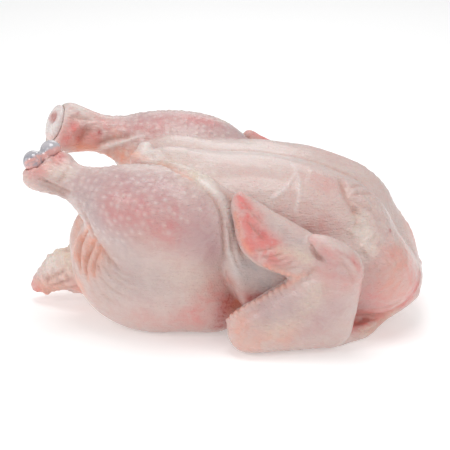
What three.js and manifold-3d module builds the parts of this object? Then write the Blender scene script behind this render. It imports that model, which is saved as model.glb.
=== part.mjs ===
// Whole raw chicken, plucked and drawn, lying on its back with the breast up.
// Millimetres, +Z up. +X runs to the neck end, -X to the tail, and the bird's left
// side faces -Y. Z = 0 is the flat that it rests on, and the origin is at the middle
// of its footprint.
//
// The muscles, folds and limbs are round forms that melt into each other, as skin
// drawn over them does. Each form is a function that gives the distance to its
// surface, below zero inside. Blending those gives the field of the whole bird, and
// a mesh is laid over the field's zero level.

import * as THREE from 'three';
import Module from 'manifold-3d';

const wasm = await Module();
wasm.setup();

// ---- Driving dimensions -------------------------------------------------------

const LEFT = -1;
const RIGHT = 1;
const SIDES = [LEFT, RIGHT];

const REST_CUT = 1.5;              // how far the soft back is pressed flat
const MIDDLE_X = -0.35;           // middle of the bird's length, before it is centred
const BODY_MESH = 8.2;             // mesh size over trunk, legs and tail
const WING_MESH = 5.8;             // mesh size over the thinner wings
const HOCK_MESH = 3.2;             // mesh size over the joint ends of the leg bones
const HOCK_GAP = 0.4;              // slit between a joint end and the flesh round it

// Forms are centre, radii and the turn about X, Y and Z in degrees. Where a form has
// a left and a right copy, its Y and its turn about Z are for the right one.
const RIBCAGE = { centre: [18, 0, 60], radii: [105, 63, 59], turn: [0, 4, 0] };
const CROP = { centre: [94.4, 0, 31.6], radii: [48.5, 48, 31] };
const RUMP = { centre: [-68, 0, 44], radii: [38, 36, 42] };
const BREAST = { centre: [20, 27, 79.5], radii: [97.4, 41, 40.5], turn: [0, 0.8, -2] };
const BREAST_TIP = { centre: [-37, 15, 105], radii: [29, 20, 20], turn: [0, 0, -6] };
const KEEL_SHIFT = 3;               // how far the keel lies towards the right side
const SHOULDER = { centre: [92.2, 27, 53.1], radii: [44.5, 35, 32.2], turn: [0, 21.6, 0] };
const FLANK = { centre: [42, 44, 52], radii: [38, 23, 34] };
const VENT = { centre: [-78, 0, 78], radii: [46, 23, 25], turn: [0, 36, 0] };
const TAIL_HOLLOW = { centre: [-142, 0, 65], radii: [30, 40, 14], turn: [0, 42, 0] };
const KNEE = { centre: [-6, 45, 23], radii: [28, 22, 22] };

// Limbs are rows of x, y, z and radius along their middle.
const FLANK_FOLD = [
  [-57, 1, 119, 5.5], [-60.5, 11, 114, 5.5], [-56.5, 24, 114.5, 5.4], [-45, 34, 116, 5.5], [-35, 42, 117.5, 6],
  [-23, 52, 117.5, 6.5], [-11, 58, 113.5, 7], [0, 61, 107, 8], [9, 62, 98, 9.5],
  [12.5, 61, 84, 10.5], [14, 61, 66, 10.5], [20, 60, 48, 10.5], [28, 57, 32, 9],
];
const VENT_FOLD = [
  [-80, 27, 90, 6], [-91.5, 28, 78, 8], [-96, 30, 61, 11.5], [-92.5, 34, 40, 11.5], [-82, 40, 24, 10],
];
const TAIL = [[-92, 0, 29, 22], [-112, 0, 28, 17.5], [-122, 0, 24.5, 14], [-138, 0, 13.6, 5.8]];
const NECK_LIP = [
  [86, 62, 7, 6.2], [98, 51, 7.2, 6.2], [105.5, 41.5, 8, 6.2], [111, 32, 10.5, 5.8], [122, 23, 17, 5.4],
  [135.5, 13, 24, 4.8],
];

// Plates are thick triangles of three such rows: the neck skin's underside, and the
// skin that is drawn from the flank to the wing.
const NECK_SKIN = [[84, 60, 7.5, 6.5], [102, 34, 8, 6.5], [80, 0, 12, 11]];
const WING_WEB = [[16, 61, 80, 7], [26, 62, 34, 7], [58, 72, 60, 6]];

// The two legs aren't alike: the right one is drawn a little higher. Each ends in a
// joint face, given by a point on it and its direction.
const LEGS = {
  [LEFT]: {
    thigh: { centre: [-44, -43, 49], radii: [60, 38, 50], turn: [0, 0, -4] },
    drumstick: [
      [-100, -54, 110, 10.5], [-78, -56, 101, 20], [-54, -58, 93, 31], [-26, -59, 88, 34], [-6, -58, 84, 26],
    ],
    ankle: [[-123.5, -55, 114, 10.5], [-110.5, -46, 118.5, 10.8], [-98, -54, 108, 10.8]],
    face: { point: [-117.8, -49.5, 127.1], direction: [-0.55, 0.33, 0.75] },
  },
  [RIGHT]: {
    thigh: { centre: [-44, 43, 51], radii: [60, 38, 50], turn: [0, 0, 4] },
    drumstick: [
      [-100, 49, 117, 12.5], [-78, 54, 111, 18.5], [-54, 57, 104.5, 28.5], [-26, 58, 98, 32.5], [-6, 58, 93, 26],
    ],
    ankle: [[-130, 44, 115, 13], [-122, 47, 127, 13], [-100, 49, 117, 12.5]],
    face: { point: [-131.5, 43, 125], direction: [-0.78, -0.5, 0.38] },
  },
};

// Joint ends of the leg bones: the left one shows its two knuckles, the right one a
// dished oval face.
const KNUCKLES = [
  { centre: [-126.5, -55, 124], radii: [7, 7.6, 7.4] },
  { centre: [-116.5, -43.5, 129], radii: [7.4, 7.8, 7] },
];
const KNUCKLE_ROOT = [[-121, -49, 124, 6], [-116, -49, 118, 5]];
const JOINT_FACE = { centre: [-132, 43, 125.5], radii: [5, 9.8, 14], turn: [0, 22, 35] };
const JOINT_DISH = { centre: [-133.5, 39.3, 131], radii: [2.8, 4, 5.6], turn: [0, 22, 35] };

// Wings lie folded against the sides, with the tip by the thigh.
const WINGS = {
  [LEFT]: { tipX: 20, tipZ: 107 },
  [RIGHT]: { tipX: 10, tipZ: 111 },
};
const ELBOW = [28, 82.5, 18, 16.5];
const WRIST = [89, 80, 61, 15];
const ARMPIT = [80.5, 68, 19, 16.5];
const THUMB = [[90, 80, 67, 12.2], [85, 84, 75, 9], [78, 85, 81, 6.8], [71, 85, 84, 5]];

// ---- Fields of the round forms --------------------------------------------------

const smoothMin = (a, b, width) => {
  const share = Math.max(width - Math.abs(a - b), 0) / width;
  return Math.min(a, b) - share * share * width / 4;
};
const smoothMax = (a, b, width) => -smoothMin(-a, -b, width);

const onSide = (form, side) => ({
  centre: [form.centre[0], form.centre[1] * side, form.centre[2]],
  radii: form.radii,
  turn: form.turn && [form.turn[0], form.turn[1], form.turn[2] * side],
});
const towardsKeel = (form) => ({
  ...form,
  centre: [form.centre[0], form.centre[1] + KEEL_SHIFT, form.centre[2]],
});
const rowOnSide = (row, side) => [row[0], row[1] * side, row[2], row[3]];
const rowsOnSide = (rows, side) => rows.map((row) => rowOnSide(row, side));

// Ellipsoid, turned about X, then Y, then Z.
function ellipsoid({ centre, radii, turn = [0, 0, 0] }) {
  const angles = turn.map(THREE.MathUtils.degToRad);
  const back = new THREE.Matrix4().makeRotationFromEuler(new THREE.Euler(...angles, 'ZYX'));
  const m = back.transpose().elements;
  return (x, y, z) => {
    const dx = x - centre[0];
    const dy = y - centre[1];
    const dz = z - centre[2];
    const a = (m[0] * dx + m[4] * dy + m[8] * dz) / radii[0];
    const b = (m[1] * dx + m[5] * dy + m[9] * dz) / radii[1];
    const c = (m[2] * dx + m[6] * dy + m[10] * dz) / radii[2];
    const size = Math.hypot(a, b, c) + 1e-9;
    const slope = Math.hypot(a / radii[0], b / radii[1], c / radii[2]) + 1e-9;
    return size * (size - 1) / slope;
  };
}

// Rod from one row to the next, its radius changing evenly.
function rod(from, to) {
  const d = [to[0] - from[0], to[1] - from[1], to[2] - from[2]];
  const length2 = d[0] * d[0] + d[1] * d[1] + d[2] * d[2];
  return (x, y, z) => {
    const p = [x - from[0], y - from[1], z - from[2]];
    const t = THREE.MathUtils.clamp((p[0] * d[0] + p[1] * d[1] + p[2] * d[2]) / length2, 0, 1);
    const radius = from[3] + t * (to[3] - from[3]);
    return Math.hypot(p[0] - t * d[0], p[1] - t * d[1], p[2] - t * d[2]) - radius;
  };
}

// Limb whose middle and radius follow a smooth curve through the rows.
function limb(rows, steps = 5) {
  const first = rows[0];
  const last = rows[rows.length - 1];
  const before = first.map((value, i) => 2 * value - rows[1][i]);
  const after = last.map((value, i) => 2 * value - rows[rows.length - 2][i]);
  const knots = [before, ...rows, after];
  const line = [];
  for (let i = 1; i < knots.length - 2; i += 1) {
    const [a, b, c, d] = knots.slice(i - 1, i + 3);
    for (let step = 0; step < steps; step += 1) {
      const t = step / steps;
      line.push(a.map((_, n) => 0.5 * (2 * b[n] + (c[n] - a[n]) * t
        + (2 * a[n] - 5 * b[n] + 4 * c[n] - d[n]) * t * t
        + (3 * b[n] - a[n] - 3 * c[n] + d[n]) * t * t * t)));
    }
  }
  line.push(last);
  const rods = line.slice(1).map((row, i) => rod(line[i], row));
  return (x, y, z) => rods.reduce((best, piece) => Math.min(best, piece(x, y, z)), Infinity);
}

// Thick triangle between three rows, its thickness changing evenly from corner to corner.
function plate(a, b, c) {
  const corners = [a, b, c].map((row) => new THREE.Vector3(...row));
  const triangle = new THREE.Triangle(...corners);
  const point = new THREE.Vector3();
  const foot = new THREE.Vector3();
  const share = new THREE.Vector3();
  return (x, y, z) => {
    point.set(x, y, z);
    triangle.closestPointToPoint(point, foot);
    triangle.getBarycoord(foot, share);
    return point.distanceTo(foot) - (a[3] * share.x + b[3] * share.y + c[3] * share.z);
  };
}

const blend = (fields, width) => (x, y, z) =>
  fields.reduce((sum, field) => smoothMin(sum, field(x, y, z), width), Infinity);
const melt = (a, b, width) => (x, y, z) => smoothMin(a(x, y, z), b(x, y, z), width);
const hollow = (a, b, width) => (x, y, z) => smoothMax(a(x, y, z), -b(x, y, z), width);

// ---- The bird's own forms -------------------------------------------------------

// Rib cage, crop and rump, with the two breast lobes that meet over the keel bone.
function trunk() {
  const frame = melt(melt(ellipsoid(RIBCAGE), ellipsoid(CROP), 14), ellipsoid(RUMP), 16);
  const lobes = SIDES.map((side) => {
    const [lobe, tip] = [BREAST, BREAST_TIP].map((form) => ellipsoid(towardsKeel(onSide(form, side))));
    return melt(melt(lobe, tip, 12), ellipsoid(onSide(SHOULDER, side)), 12);
  });
  return melt(frame, blend(lobes, 4), 14);
}

// Half-space below the joint face, which ends the leg.
function faceOf({ point, direction }) {
  const normal = new THREE.Vector3(...direction).normalize();
  const reach = normal.dot(new THREE.Vector3(...point));
  return (x, y, z) => reach - (normal.x * x + normal.y * y + normal.z * z);
}

function leg(side) {
  const { thigh, drumstick, ankle, face } = LEGS[side];
  const shank = hollow(melt(plate(...ankle), limb(drumstick), 5), faceOf(face), 3);
  const upper = melt(ellipsoid(thigh), ellipsoid(onSide(KNEE, side)), 10);
  return melt(shank, upper, 16);
}

function jointEnd(side) {
  if (side === LEFT) {
    const knuckles = blend(KNUCKLES.map(ellipsoid), 2.2);
    return melt(knuckles, limb(KNUCKLE_ROOT), 2);
  }
  return hollow(ellipsoid(JOINT_FACE), ellipsoid(JOINT_DISH), 1.5);
}

function wing(side) {
  const { tipX, tipZ } = WINGS[side];
  const row = (x, y, z, radius) => [x, y * side, z, radius];
  const arm = plate(rowOnSide(ELBOW, side), rowOnSide(WRIST, side), rowOnSide(ARMPIT, side));
  const blade = plate(row(86, 81, 65, 11), row(tipX - 1, 73, tipZ + 2, 3.5), row(42, 82, 74, 6.5));
  const trailing = plate(row(60, 83, 63, 6.5), row(28, 83, 78, 5.5), row(tipX - 1, 75, tipZ - 3, 5));
  const edge = limb([
    row(tipX, 76, tipZ - 7, 4.6), row(tipX + 3, 81, tipZ - 20, 5.5), row(29, 84, 77, 6),
    row(40, 84, 69, 6.5), row(56, 83, 65, 6.8),
  ]);
  const hand = blend([blade, trailing, edge], 6);
  return melt(melt(arm, hand, 6), limb(rowsOnSide(THUMB, side)), 2.5);
}

function flankFold(side) {
  return melt(limb(rowsOnSide(FLANK_FOLD, side)), ellipsoid(onSide(FLANK, side)), 6);
}

// Skin left round the neck opening, with its rolled rim.
function neckLip(side) {
  return melt(plate(...rowsOnSide(NECK_SKIN, side)), limb(rowsOnSide(NECK_LIP, side)), 5);
}

// Everything but the wings and the joint ends, with the open vent under the breast.
function body() {
  const tail = hollow(limb(TAIL), ellipsoid(TAIL_HOLLOW), 10);
  let field = melt(trunk(), tail, 3);
  for (const side of SIDES) {
    field = melt(field, limb(rowsOnSide(VENT_FOLD, side)), 5);
    field = melt(field, leg(side), 2.5);
  }
  field = hollow(field, ellipsoid(VENT), 8);
  for (const side of SIDES) {
    field = melt(field, neckLip(side), 4);
    field = melt(field, flankFold(side), 3);
    field = melt(field, plate(...rowsOnSide(WING_WEB, side)), 6);
  }
  return field;
}

// ---- From field to solid ----------------------------------------------------------

const NUDGE = 0.4;

function slopeOf(field, x, y, z) {
  return new THREE.Vector3(
    field(x + NUDGE, y, z) - field(x - NUDGE, y, z),
    field(x, y + NUDGE, z) - field(x, y - NUDGE, z),
    field(x, y, z + NUDGE) - field(x, y, z - NUDGE),
  ).divideScalar(2 * NUDGE);
}

// A grid cell's corners are numbered 0 to 7, with 4 for its far X, 2 for its far Y and
// 1 for its far Z. Its edges run from the nearer corner to the farther one.
const BITS = [4, 2, 1];
const CELL_CORNERS = Array.from({ length: 8 }, (_, corner) => BITS.map((bit) => (corner & bit ? 1 : 0)));
const CELL_EDGES = CELL_CORNERS.flatMap((_, corner) =>
  BITS.filter((bit) => !(corner & bit)).map((bit) => [corner, corner | bit]));
const CELL_SIDES = BITS.flatMap((bit, axis) => [0, bit].map((held) => {
  const corners = [0, 1, 2, 3, 4, 5, 6, 7].filter((corner) => (corner & bit) === held);
  const edges = CELL_EDGES.flatMap((ends, n) => (ends.every((end) => corners.includes(end)) ? [n] : []));
  return { bit, axis, beyond: held ? 1 : -1, corners, edges };
}));

const isIn = (mask, corner) => (mask >> corner & 1) === 1;

// True if corner a reaches corner b along the cell's edges without leaving the solid.
function reaches(mask, a, b) {
  const found = new Set([a]);
  for (const corner of found) {
    for (const bit of BITS) if (isIn(mask, corner ^ bit)) found.add(corner ^ bit);
  }
  return found.has(b);
}

// Groups the cell's crossed edges into the separate sheets that pass through it.
function sheetsOf(mask, maskBeyond) {
  const crossed = (edge) => isIn(mask, CELL_EDGES[edge][0]) !== isIn(mask, CELL_EDGES[edge][1]);
  const sheet = CELL_EDGES.map((_, edge) => (crossed(edge) ? edge : -1));
  const join = ([a, b]) => {
    const old = sheet[a];
    sheet.forEach((value, edge) => {
      if (value === old) sheet[edge] = sheet[b];
    });
  };
  for (const side of CELL_SIDES) {
    const cuts = side.edges.filter(crossed);
    if (cuts.length === 2) join(cuts);
    if (cuts.length < 4) continue;
    const solid = side.corners.filter((corner) => isIn(mask, corner));
    const open = side.corners.filter((corner) => !isIn(mask, corner));
    const across = solid.map((corner) => corner ^ side.bit);
    const bridged = reaches(mask, ...solid) && reaches(maskBeyond(side), ...across);
    for (const corner of bridged ? open : solid) {
      join(side.edges.filter((edge) => CELL_EDGES[edge].includes(corner)));
    }
  }
  return sheet;
}

// One point for each sheet of the surface in each grid cell that it passes through,
// and one four-sided face across each grid edge that it crosses. The grid goes three
// cells past the room from lowest to highest, which holds the whole surface.
function layNet(field, lowest, highest, step) {
  const low = lowest.map((value) => value - 3 * step);
  const count = lowest.map((value, i) => Math.ceil((highest[i] - value) / step) + 7);
  const at = (i, j, k) => (i * count[1] + j) * count[2] + k;
  const each = (first, visit) => {
    for (let i = first; i < count[0] - 1; i += 1) {
      for (let j = first; j < count[1] - 1; j += 1) {
        for (let k = first; k < count[2] - 1; k += 1) visit(i, j, k);
      }
    }
  };
  const values = new Float64Array(count[0] * count[1] * count[2]).fill(1);
  each(0, (i, j, k) => {
    values[at(i, j, k)] = field(low[0] + i * step, low[1] + j * step, low[2] + k * step);
  });
  const masks = new Uint8Array(values.length);
  each(0, (i, j, k) => {
    CELL_CORNERS.forEach(([x, y, z], corner) => {
      if (values[at(i + x, j + y, k + z)] < 0) masks[at(i, j, k)] |= 1 << corner;
    });
  });

  const pointOf = new Int32Array(values.length * CELL_EDGES.length);
  const points = [];
  each(1, (i, j, k) => {
    const mask = masks[at(i, j, k)];
    if (mask === 0 || mask === 255) return;
    const sheet = sheetsOf(mask, ({ axis, beyond }) => {
      const place = [i, j, k];
      place[axis] += beyond;
      return masks[at(...place)];
    });
    for (const name of new Set(sheet.filter((value) => value >= 0))) {
      const sum = new THREE.Vector3();
      let crossings = 0;
      CELL_EDGES.forEach((ends, edge) => {
        if (sheet[edge] !== name) return;
        const [from, to] = ends.map((end) => new THREE.Vector3(...CELL_CORNERS[end]));
        const [a, b] = [from, to].map(({ x, y, z }) => values[at(i + x, j + y, k + z)]);
        sum.add(from.lerp(to, a / (a - b)));
        crossings += 1;
        pointOf[at(i, j, k) * CELL_EDGES.length + edge] = points.length;
      });
      sum.divideScalar(crossings).add(new THREE.Vector3(i, j, k));
      points.push(sum.multiplyScalar(step).add(new THREE.Vector3(...low)));
    }
  });

  const faces = [];
  each(2, (i, j, k) => {
    for (let axis = 0; axis < 3; axis += 1) {
      const [across, along] = [(axis + 1) % 3, (axis + 2) % 3];
      const end = [i, j, k];
      end[axis] += 1;
      const inside = values[at(i, j, k)] < 0;
      if (inside === values[at(...end)] < 0) continue;
      const pointIn = (u, v) => {
        const cell = [i, j, k];
        cell[across] -= u;
        cell[along] -= v;
        const corner = u * BITS[across] + v * BITS[along];
        const edge = CELL_EDGES.findIndex(([a, b]) => a === corner && b === (corner | BITS[axis]));
        return pointOf[at(...cell) * CELL_EDGES.length + edge];
      };
      const face = [pointIn(1, 1), pointIn(0, 1), pointIn(0, 0), pointIn(1, 0)];
      faces.push(inside ? face : face.reverse());
    }
  });
  return { points, faces };
}

// Evens out the net's points and sets them on the surface.
function settle({ points, faces }, field, rounds) {
  const neighbours = points.map(() => new Set());
  for (const face of faces) {
    face.forEach((a, n) => {
      const b = face[(n + 1) % 4];
      neighbours[a].add(b);
      neighbours[b].add(a);
    });
  }
  let settled = points;
  for (let round = 0; round < rounds; round += 1) {
    settled = settled.map((point, n) => {
      const middle = new THREE.Vector3();
      for (const other of neighbours[n]) middle.add(settled[other]);
      middle.divideScalar(neighbours[n].size);
      const normal = slopeOf(field, point.x, point.y, point.z).normalize();
      const slide = middle.sub(point).projectOnPlane(normal);
      const moved = point.clone().addScaledVector(slide, 0.6);
      const slope = slopeOf(field, moved.x, moved.y, moved.z);
      const height = field(moved.x, moved.y, moved.z) / (slope.lengthSq() + 1e-6);
      return moved.addScaledVector(slope, -THREE.MathUtils.clamp(height, -2, 2));
    });
  }
  return settled;
}

// Solid under the field's surface, or one grown past it by some millimetres.
function solidOf(field, lowest, highest, step, growth = 0) {
  const net = layNet(field, lowest, highest, step);
  const points = settle(net, field, 3);
  for (const point of points) {
    point.addScaledVector(slopeOf(field, point.x, point.y, point.z).normalize(), growth);
  }
  const triangles = net.faces.flatMap(([a, b, c, d]) => {
    const across = points[a].distanceToSquared(points[c]) < points[b].distanceToSquared(points[d]);
    return across ? [a, b, c, a, c, d] : [a, b, d, b, c, d];
  });
  return new wasm.Manifold(new wasm.Mesh({
    numProp: 3,
    vertProperties: new Float32Array(points.flatMap((point) => point.toArray())),
    triVerts: new Uint32Array(triangles),
  }));
}

// Room above the flat that the bird rests on.
function roomAboveRest() {
  const shape = new THREE.BoxGeometry(400, 300, 200).translate(0, 0, 100 + REST_CUT);
  const corners = [];
  const index = new Map();
  const position = shape.getAttribute('position');
  const triangles = Array.from(shape.getIndex().array, (n) => {
    const corner = [position.getX(n), position.getY(n), position.getZ(n)];
    const key = corner.join(' ');
    if (!index.has(key)) {
      index.set(key, index.size);
      corners.push(...corner);
    }
    return index.get(key);
  });
  return new wasm.Manifold(new wasm.Mesh({
    numProp: 3,
    vertProperties: new Float32Array(corners),
    triVerts: new Uint32Array(triangles),
  }));
}

function meshOf(name, solid, material) {
  const { numProp, vertProperties, triVerts } = solid.getMesh();
  const positions = new Float32Array(vertProperties.length / numProp * 3);
  for (let n = 0; n < positions.length / 3; n += 1) {
    for (let axis = 0; axis < 3; axis += 1) positions[3 * n + axis] = vertProperties[numProp * n + axis];
  }
  const geometry = new THREE.BufferGeometry();
  geometry.setAttribute('position', new THREE.BufferAttribute(positions, 3));
  geometry.setIndex(new THREE.BufferAttribute(new Uint32Array(triVerts), 1));
  geometry.computeVertexNormals();
  const mesh = new THREE.Mesh(geometry, material);
  mesh.name = name;
  return mesh;
}

// ---- Assembly -----------------------------------------------------------------------

const skin = new THREE.MeshStandardMaterial({ color: 0xdcc2ba, roughness: 0.42, metalness: 0 });
const knuckleGristle = new THREE.MeshStandardMaterial({ color: 0xb4b9c4, roughness: 0.25, metalness: 0 });
const faceGristle = new THREE.MeshStandardMaterial({ color: 0xd9d2d2, roughness: 0.3, metalness: 0 });

const bird = new THREE.Group();

let carcass = solidOf(body(), [-150, -98, -4], [144, 98, 144], BODY_MESH);
for (const side of SIDES) {
  const [near, far] = side === LEFT ? [-100, -48] : [48, 100];
  carcass = carcass.add(solidOf(wing(side), [2, near, 0], [108, far, 118], WING_MESH));
}
for (const side of SIDES) {
  const field = jointEnd(side);
  const room = side === LEFT
    ? [[-134, -63, 110], [-108, -35, 137]]
    : [[-140, 34, 111], [-125, 55, 139]];
  carcass = carcass.subtract(solidOf(field, ...room, HOCK_MESH, HOCK_GAP));
  const end = solidOf(field, ...room, HOCK_MESH);
  const name = side === LEFT ? 'hock_left' : 'hock_right';
  bird.add(meshOf(name, end, side === LEFT ? knuckleGristle : faceGristle));
}
bird.add(meshOf('carcass', carcass.intersect(roomAboveRest()), skin));

bird.position.set(-MIDDLE_X, 0, -REST_CUT);

export default bird;
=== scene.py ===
# Whole raw chicken on its back: its skin, wings, flesh ends and gristle, with their finishes.
import math

import bpy
import numpy as np
from mathutils import Matrix, Vector


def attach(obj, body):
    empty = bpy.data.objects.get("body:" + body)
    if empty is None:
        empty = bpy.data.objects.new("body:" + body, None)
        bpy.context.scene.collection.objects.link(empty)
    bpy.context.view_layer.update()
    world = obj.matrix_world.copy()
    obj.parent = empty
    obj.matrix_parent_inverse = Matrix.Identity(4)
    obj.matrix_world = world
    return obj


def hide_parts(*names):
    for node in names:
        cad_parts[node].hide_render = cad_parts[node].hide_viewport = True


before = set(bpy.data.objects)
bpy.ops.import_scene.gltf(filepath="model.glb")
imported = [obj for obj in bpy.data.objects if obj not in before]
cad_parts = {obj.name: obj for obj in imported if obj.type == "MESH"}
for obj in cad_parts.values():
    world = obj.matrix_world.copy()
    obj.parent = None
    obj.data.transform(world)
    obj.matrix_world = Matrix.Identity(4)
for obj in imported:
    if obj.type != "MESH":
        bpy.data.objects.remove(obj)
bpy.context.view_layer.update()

# Sizes. The bird's forms are in millimetres: x towards the neck, y towards its right side and z up,
# from a point below the middle of its back that lies REST_CUT under the table's top.
LEFT, RIGHT = -1, 1
SIDES = (LEFT, RIGHT)
SIDE_NAMES = {LEFT: "left", RIGHT: "right"}
REST_CUT = 1.5
MIDDLE_X = -0.35
SKIN_MESH = 1.47
WING_MESH = 1.1
HOCK_MESH = 0.6
HOCK_GAP = 0.25
NUDGE = 0.35
BLOCK, BATCH, FAR = 4, 300000, 1e3

# Lowest and highest corners of the room that each piece is worked out in.
BODY_ROOM = ((-150, -98, -4), (148, 98, 144))
WING_ROOM = {LEFT: ((2, -102, 0), (108, -48, 120)), RIGHT: ((2, 48, 0), (108, 102, 120))}
HOCK_ROOM = {LEFT: ((-134, -63, 110), (-108, -35, 137)), RIGHT: ((-140, 34, 111), (-125, 55, 139))}

# Round forms: centre, radii, turn about X, Y and Z in degrees, given for the right side.
RIBCAGE = ((18, 0, 60), (105, 63, 59), (0, 4, 0))
CROP = ((94.4, 0, 31.6), (48.5, 48, 31), (0, 0, 0))
RUMP = ((-68, 0, 44), (38, 36, 42), (0, 0, 0))
BREAST = ((20, 27, 79.5), (97.4, 41, 40.5), (0, 0.8, -2))
BREAST_TIP = ((-37, 15, 105), (29, 20, 20), (0, 0, -6))
KEEL_SHIFT = 3
SHOULDER = ((92.2, 27, 53.1), (44.5, 35, 32.2), (0, 21.6, 0))
FLANK = ((42, 44, 52), (38, 23, 34), (0, 0, 0))
VENT = ((-78, 0, 78), (46, 23, 25), (0, 36, 0))
TAIL_HOLLOW = ((-142, 0, 65), (30, 40, 14), (0, 42, 0))
KNEE = ((-6, 45, 23), (28, 22, 22), (0, 0, 0))
THIGH = {LEFT: ((-44, 43, 49), (60, 38, 50), (0, 0, 4)), RIGHT: ((-44, 43, 51), (60, 38, 50), (0, 0, 4))}

# Limbs and plates: x, y, z and radius along their middle or at their three corners.
FLANK_FOLD = [(-57, 1, 119, 5.5), (-60.5, 11, 114, 5.5), (-56.5, 24, 114.5, 5.4), (-45, 34, 116, 5.5),
              (-35, 42, 117.5, 6), (-23, 52, 117.5, 6.5), (-11, 58, 113.5, 7), (0, 61, 107, 8),
              (9, 62, 98, 9.5), (12.5, 61, 84, 10.5), (14, 61, 66, 10.5), (20, 60, 48, 10.5),
              (28, 57, 32, 9)]
VENT_FOLD = [(-80, 27, 90, 6), (-91.5, 28, 78, 8), (-96, 30, 61, 11.5), (-92.5, 34, 40, 11.5),
             (-82, 40, 24, 10)]
TAIL = [(-92, 0, 29, 22), (-112, 0, 28, 17.5), (-122, 0, 24.5, 14), (-138, 0, 13.6, 5.8)]
NECK_SKIN = [(84, 60, 7.5, 6.5), (102, 34, 8, 6.5), (80, 0, 12, 11)]
NECK_LIP = [(86, 62, 7, 6.2), (98, 51, 7.2, 6.2), (105.5, 41.5, 8, 6.2), (111, 32, 10.5, 5.8),
            (122, 23, 17, 5.4), (135.5, 13, 24, 4.8)]
DRUMSTICK = {
    LEFT: [(-100, 54, 110, 10.5), (-78, 56, 101, 20), (-54, 58, 93, 31), (-26, 59, 88, 34),
           (-6, 58, 84, 26)],
    RIGHT: [(-100, 49, 117, 12.5), (-78, 54, 111, 18.5), (-54, 57, 104.5, 28.5), (-26, 58, 98, 32.5),
            (-6, 58, 93, 26)],
}
ANKLE = {
    LEFT: [(-123.5, 55, 114, 10.5), (-110.5, 46, 118.5, 10.8), (-98, 54, 108, 10.8)],
    RIGHT: [(-130, 44, 115, 13), (-122, 47, 127, 13), (-100, 49, 117, 12.5)],
}
ANKLE_FACE = {
    LEFT: ((-117.8, 49.5, 127.1), (-0.55, -0.33, 0.75)),
    RIGHT: ((-131.5, 43, 125), (-0.78, -0.5, 0.38)),
}

# The joint ends are given where they lie: the knuckles on the left, the dished face on the right.
KNUCKLES = [
    ((-126.5, -55, 124), (7, 7.6, 7.4), (0, 0, 0)),
    ((-116.5, -43.5, 129), (7.4, 7.8, 7), (0, 0, 0)),
]
KNUCKLE_ROOT = [(-121, -49, 124, 6), (-116, -49, 118, 5)]
JOINT_FACE = ((-132, 43, 125.5), (5, 9.8, 14), (0, 22, 35))
JOINT_DISH = ((-133.5, 39.3, 131), (2.8, 4, 5.6), (0, 22, 35))

# The folded wing.
WING_TIP = {LEFT: (20, 107), RIGHT: (10, 111)}
ELBOW, WRIST, ARMPIT = (28, 82.5, 18, 16.5), (89, 80, 61, 15), (80.5, 68, 19, 16.5)
THUMB = [(90, 80, 67, 12.2), (85, 84, 75, 9), (78, 85, 81, 6.8), (71, 85, 84, 5)]
HAND_ROOT = [(86, 81, 65, 11), (42, 82, 74, 6.5)]
HAND_BACK = [(60, 83, 63, 6.5), (28, 83, 78, 5.5)]
HAND_EDGE = [(29, 84, 77, 6), (40, 84, 69, 6.5), (56, 83, 65, 6.8)]
WING_WEB = [(16, 61, 80, 7), (26, 62, 34, 7), (58, 72, 60, 6)]

# How widely two forms melt into each other where they meet.
CROP_MELT, RUMP_MELT, LOBE_MELT, PART_MELT, KEEL_MELT = 14, 16, 14, 12, 4
ANKLE_MELT, CUT_MELT, KNEE_MELT, THIGH_MELT = 5, 3, 10, 16
ARM_MELT, THUMB_MELT = 6, 2.5
TAIL_MELT, TAIL_ROOT_MELT, LEG_MELT, VENT_MELT, VENT_FOLD_MELT = 10, 3, 2.5, 8, 5
FOLD_MELT, FLANK_MELT, NECK_MELT, LIP_MELT, WEB_MELT = 3, 6, 4, 5, 6
KNUCKLE_MELT, KNUCKLE_ROOT_MELT, DISH_MELT = 2.2, 2, 1.5

# Relief: half width, height (a crease is below zero) and the points that it runs through. The
# paired marks are given for the left side and mirrored to the right; the single ones lie as given.
VENT_CREASES = [
    (1.5, -2.2, [(-87, -69, 82), (-94, -58, 69), (-96, -61, 55), (-94, -62, 46)]),
    (1.5, -2.0, [(-81, -72, 76), (-87, -66, 63), (-90, -66, 51), (-88, -67, 43)]),
    (1.3, -1.6, [(-77, -74, 71), (-82, -70, 59), (-83, -71, 48)]),
    (1.3, -1.2, [(-101, -54, 60), (-102, -53, 49), (-98, -55, 38)]),
    (2.2, 1.0, [(-91, -64, 80), (-91, -64, 64), (-92, -66, 50)]),
    (2.0, 1.0, [(-98, -56, 76), (-99, -55, 62), (-99, -57, 50)]),
]
THIGH_CREASES = [
    (1.8, -1.6, [(-92, -72, 103), (-87, -72, 88), (-83, -70, 77), (-75, -74, 67), (-69, -76, 60),
                 (-60, -79, 57)]),
    (1.1, -0.6, [(-74, -75, 68), (-75, -74, 59), (-70, -76, 51), (-59, -79, 44), (-47, -80, 41)]),
    (1.0, -0.6, [(-72, -76, 63), (-70, -76, 55), (-61, -79, 50), (-50, -81, 46)]),
    (1.0, -0.5, [(-68, -77, 60), (-65, -78, 56), (-57, -80, 53), (-51, -81, 52)]),
    (1.1, -0.6, [(-78, -72, 67), (-79, -72, 56), (-75, -74, 46), (-65, -77, 38), (-53, -79, 34)]),
    (1.1, -0.5, [(-82, -71, 56), (-81, -71, 43), (-73, -73, 33), (-60, -75, 27)]),
    (1.1, -0.4, [(-86, -68, 41), (-83, -67, 32), (-76, -69, 26)]),
    (2.0, -0.5, [(-56, -88, 80), (-49, -90, 83), (-43, -92, 87)]),
]
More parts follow.
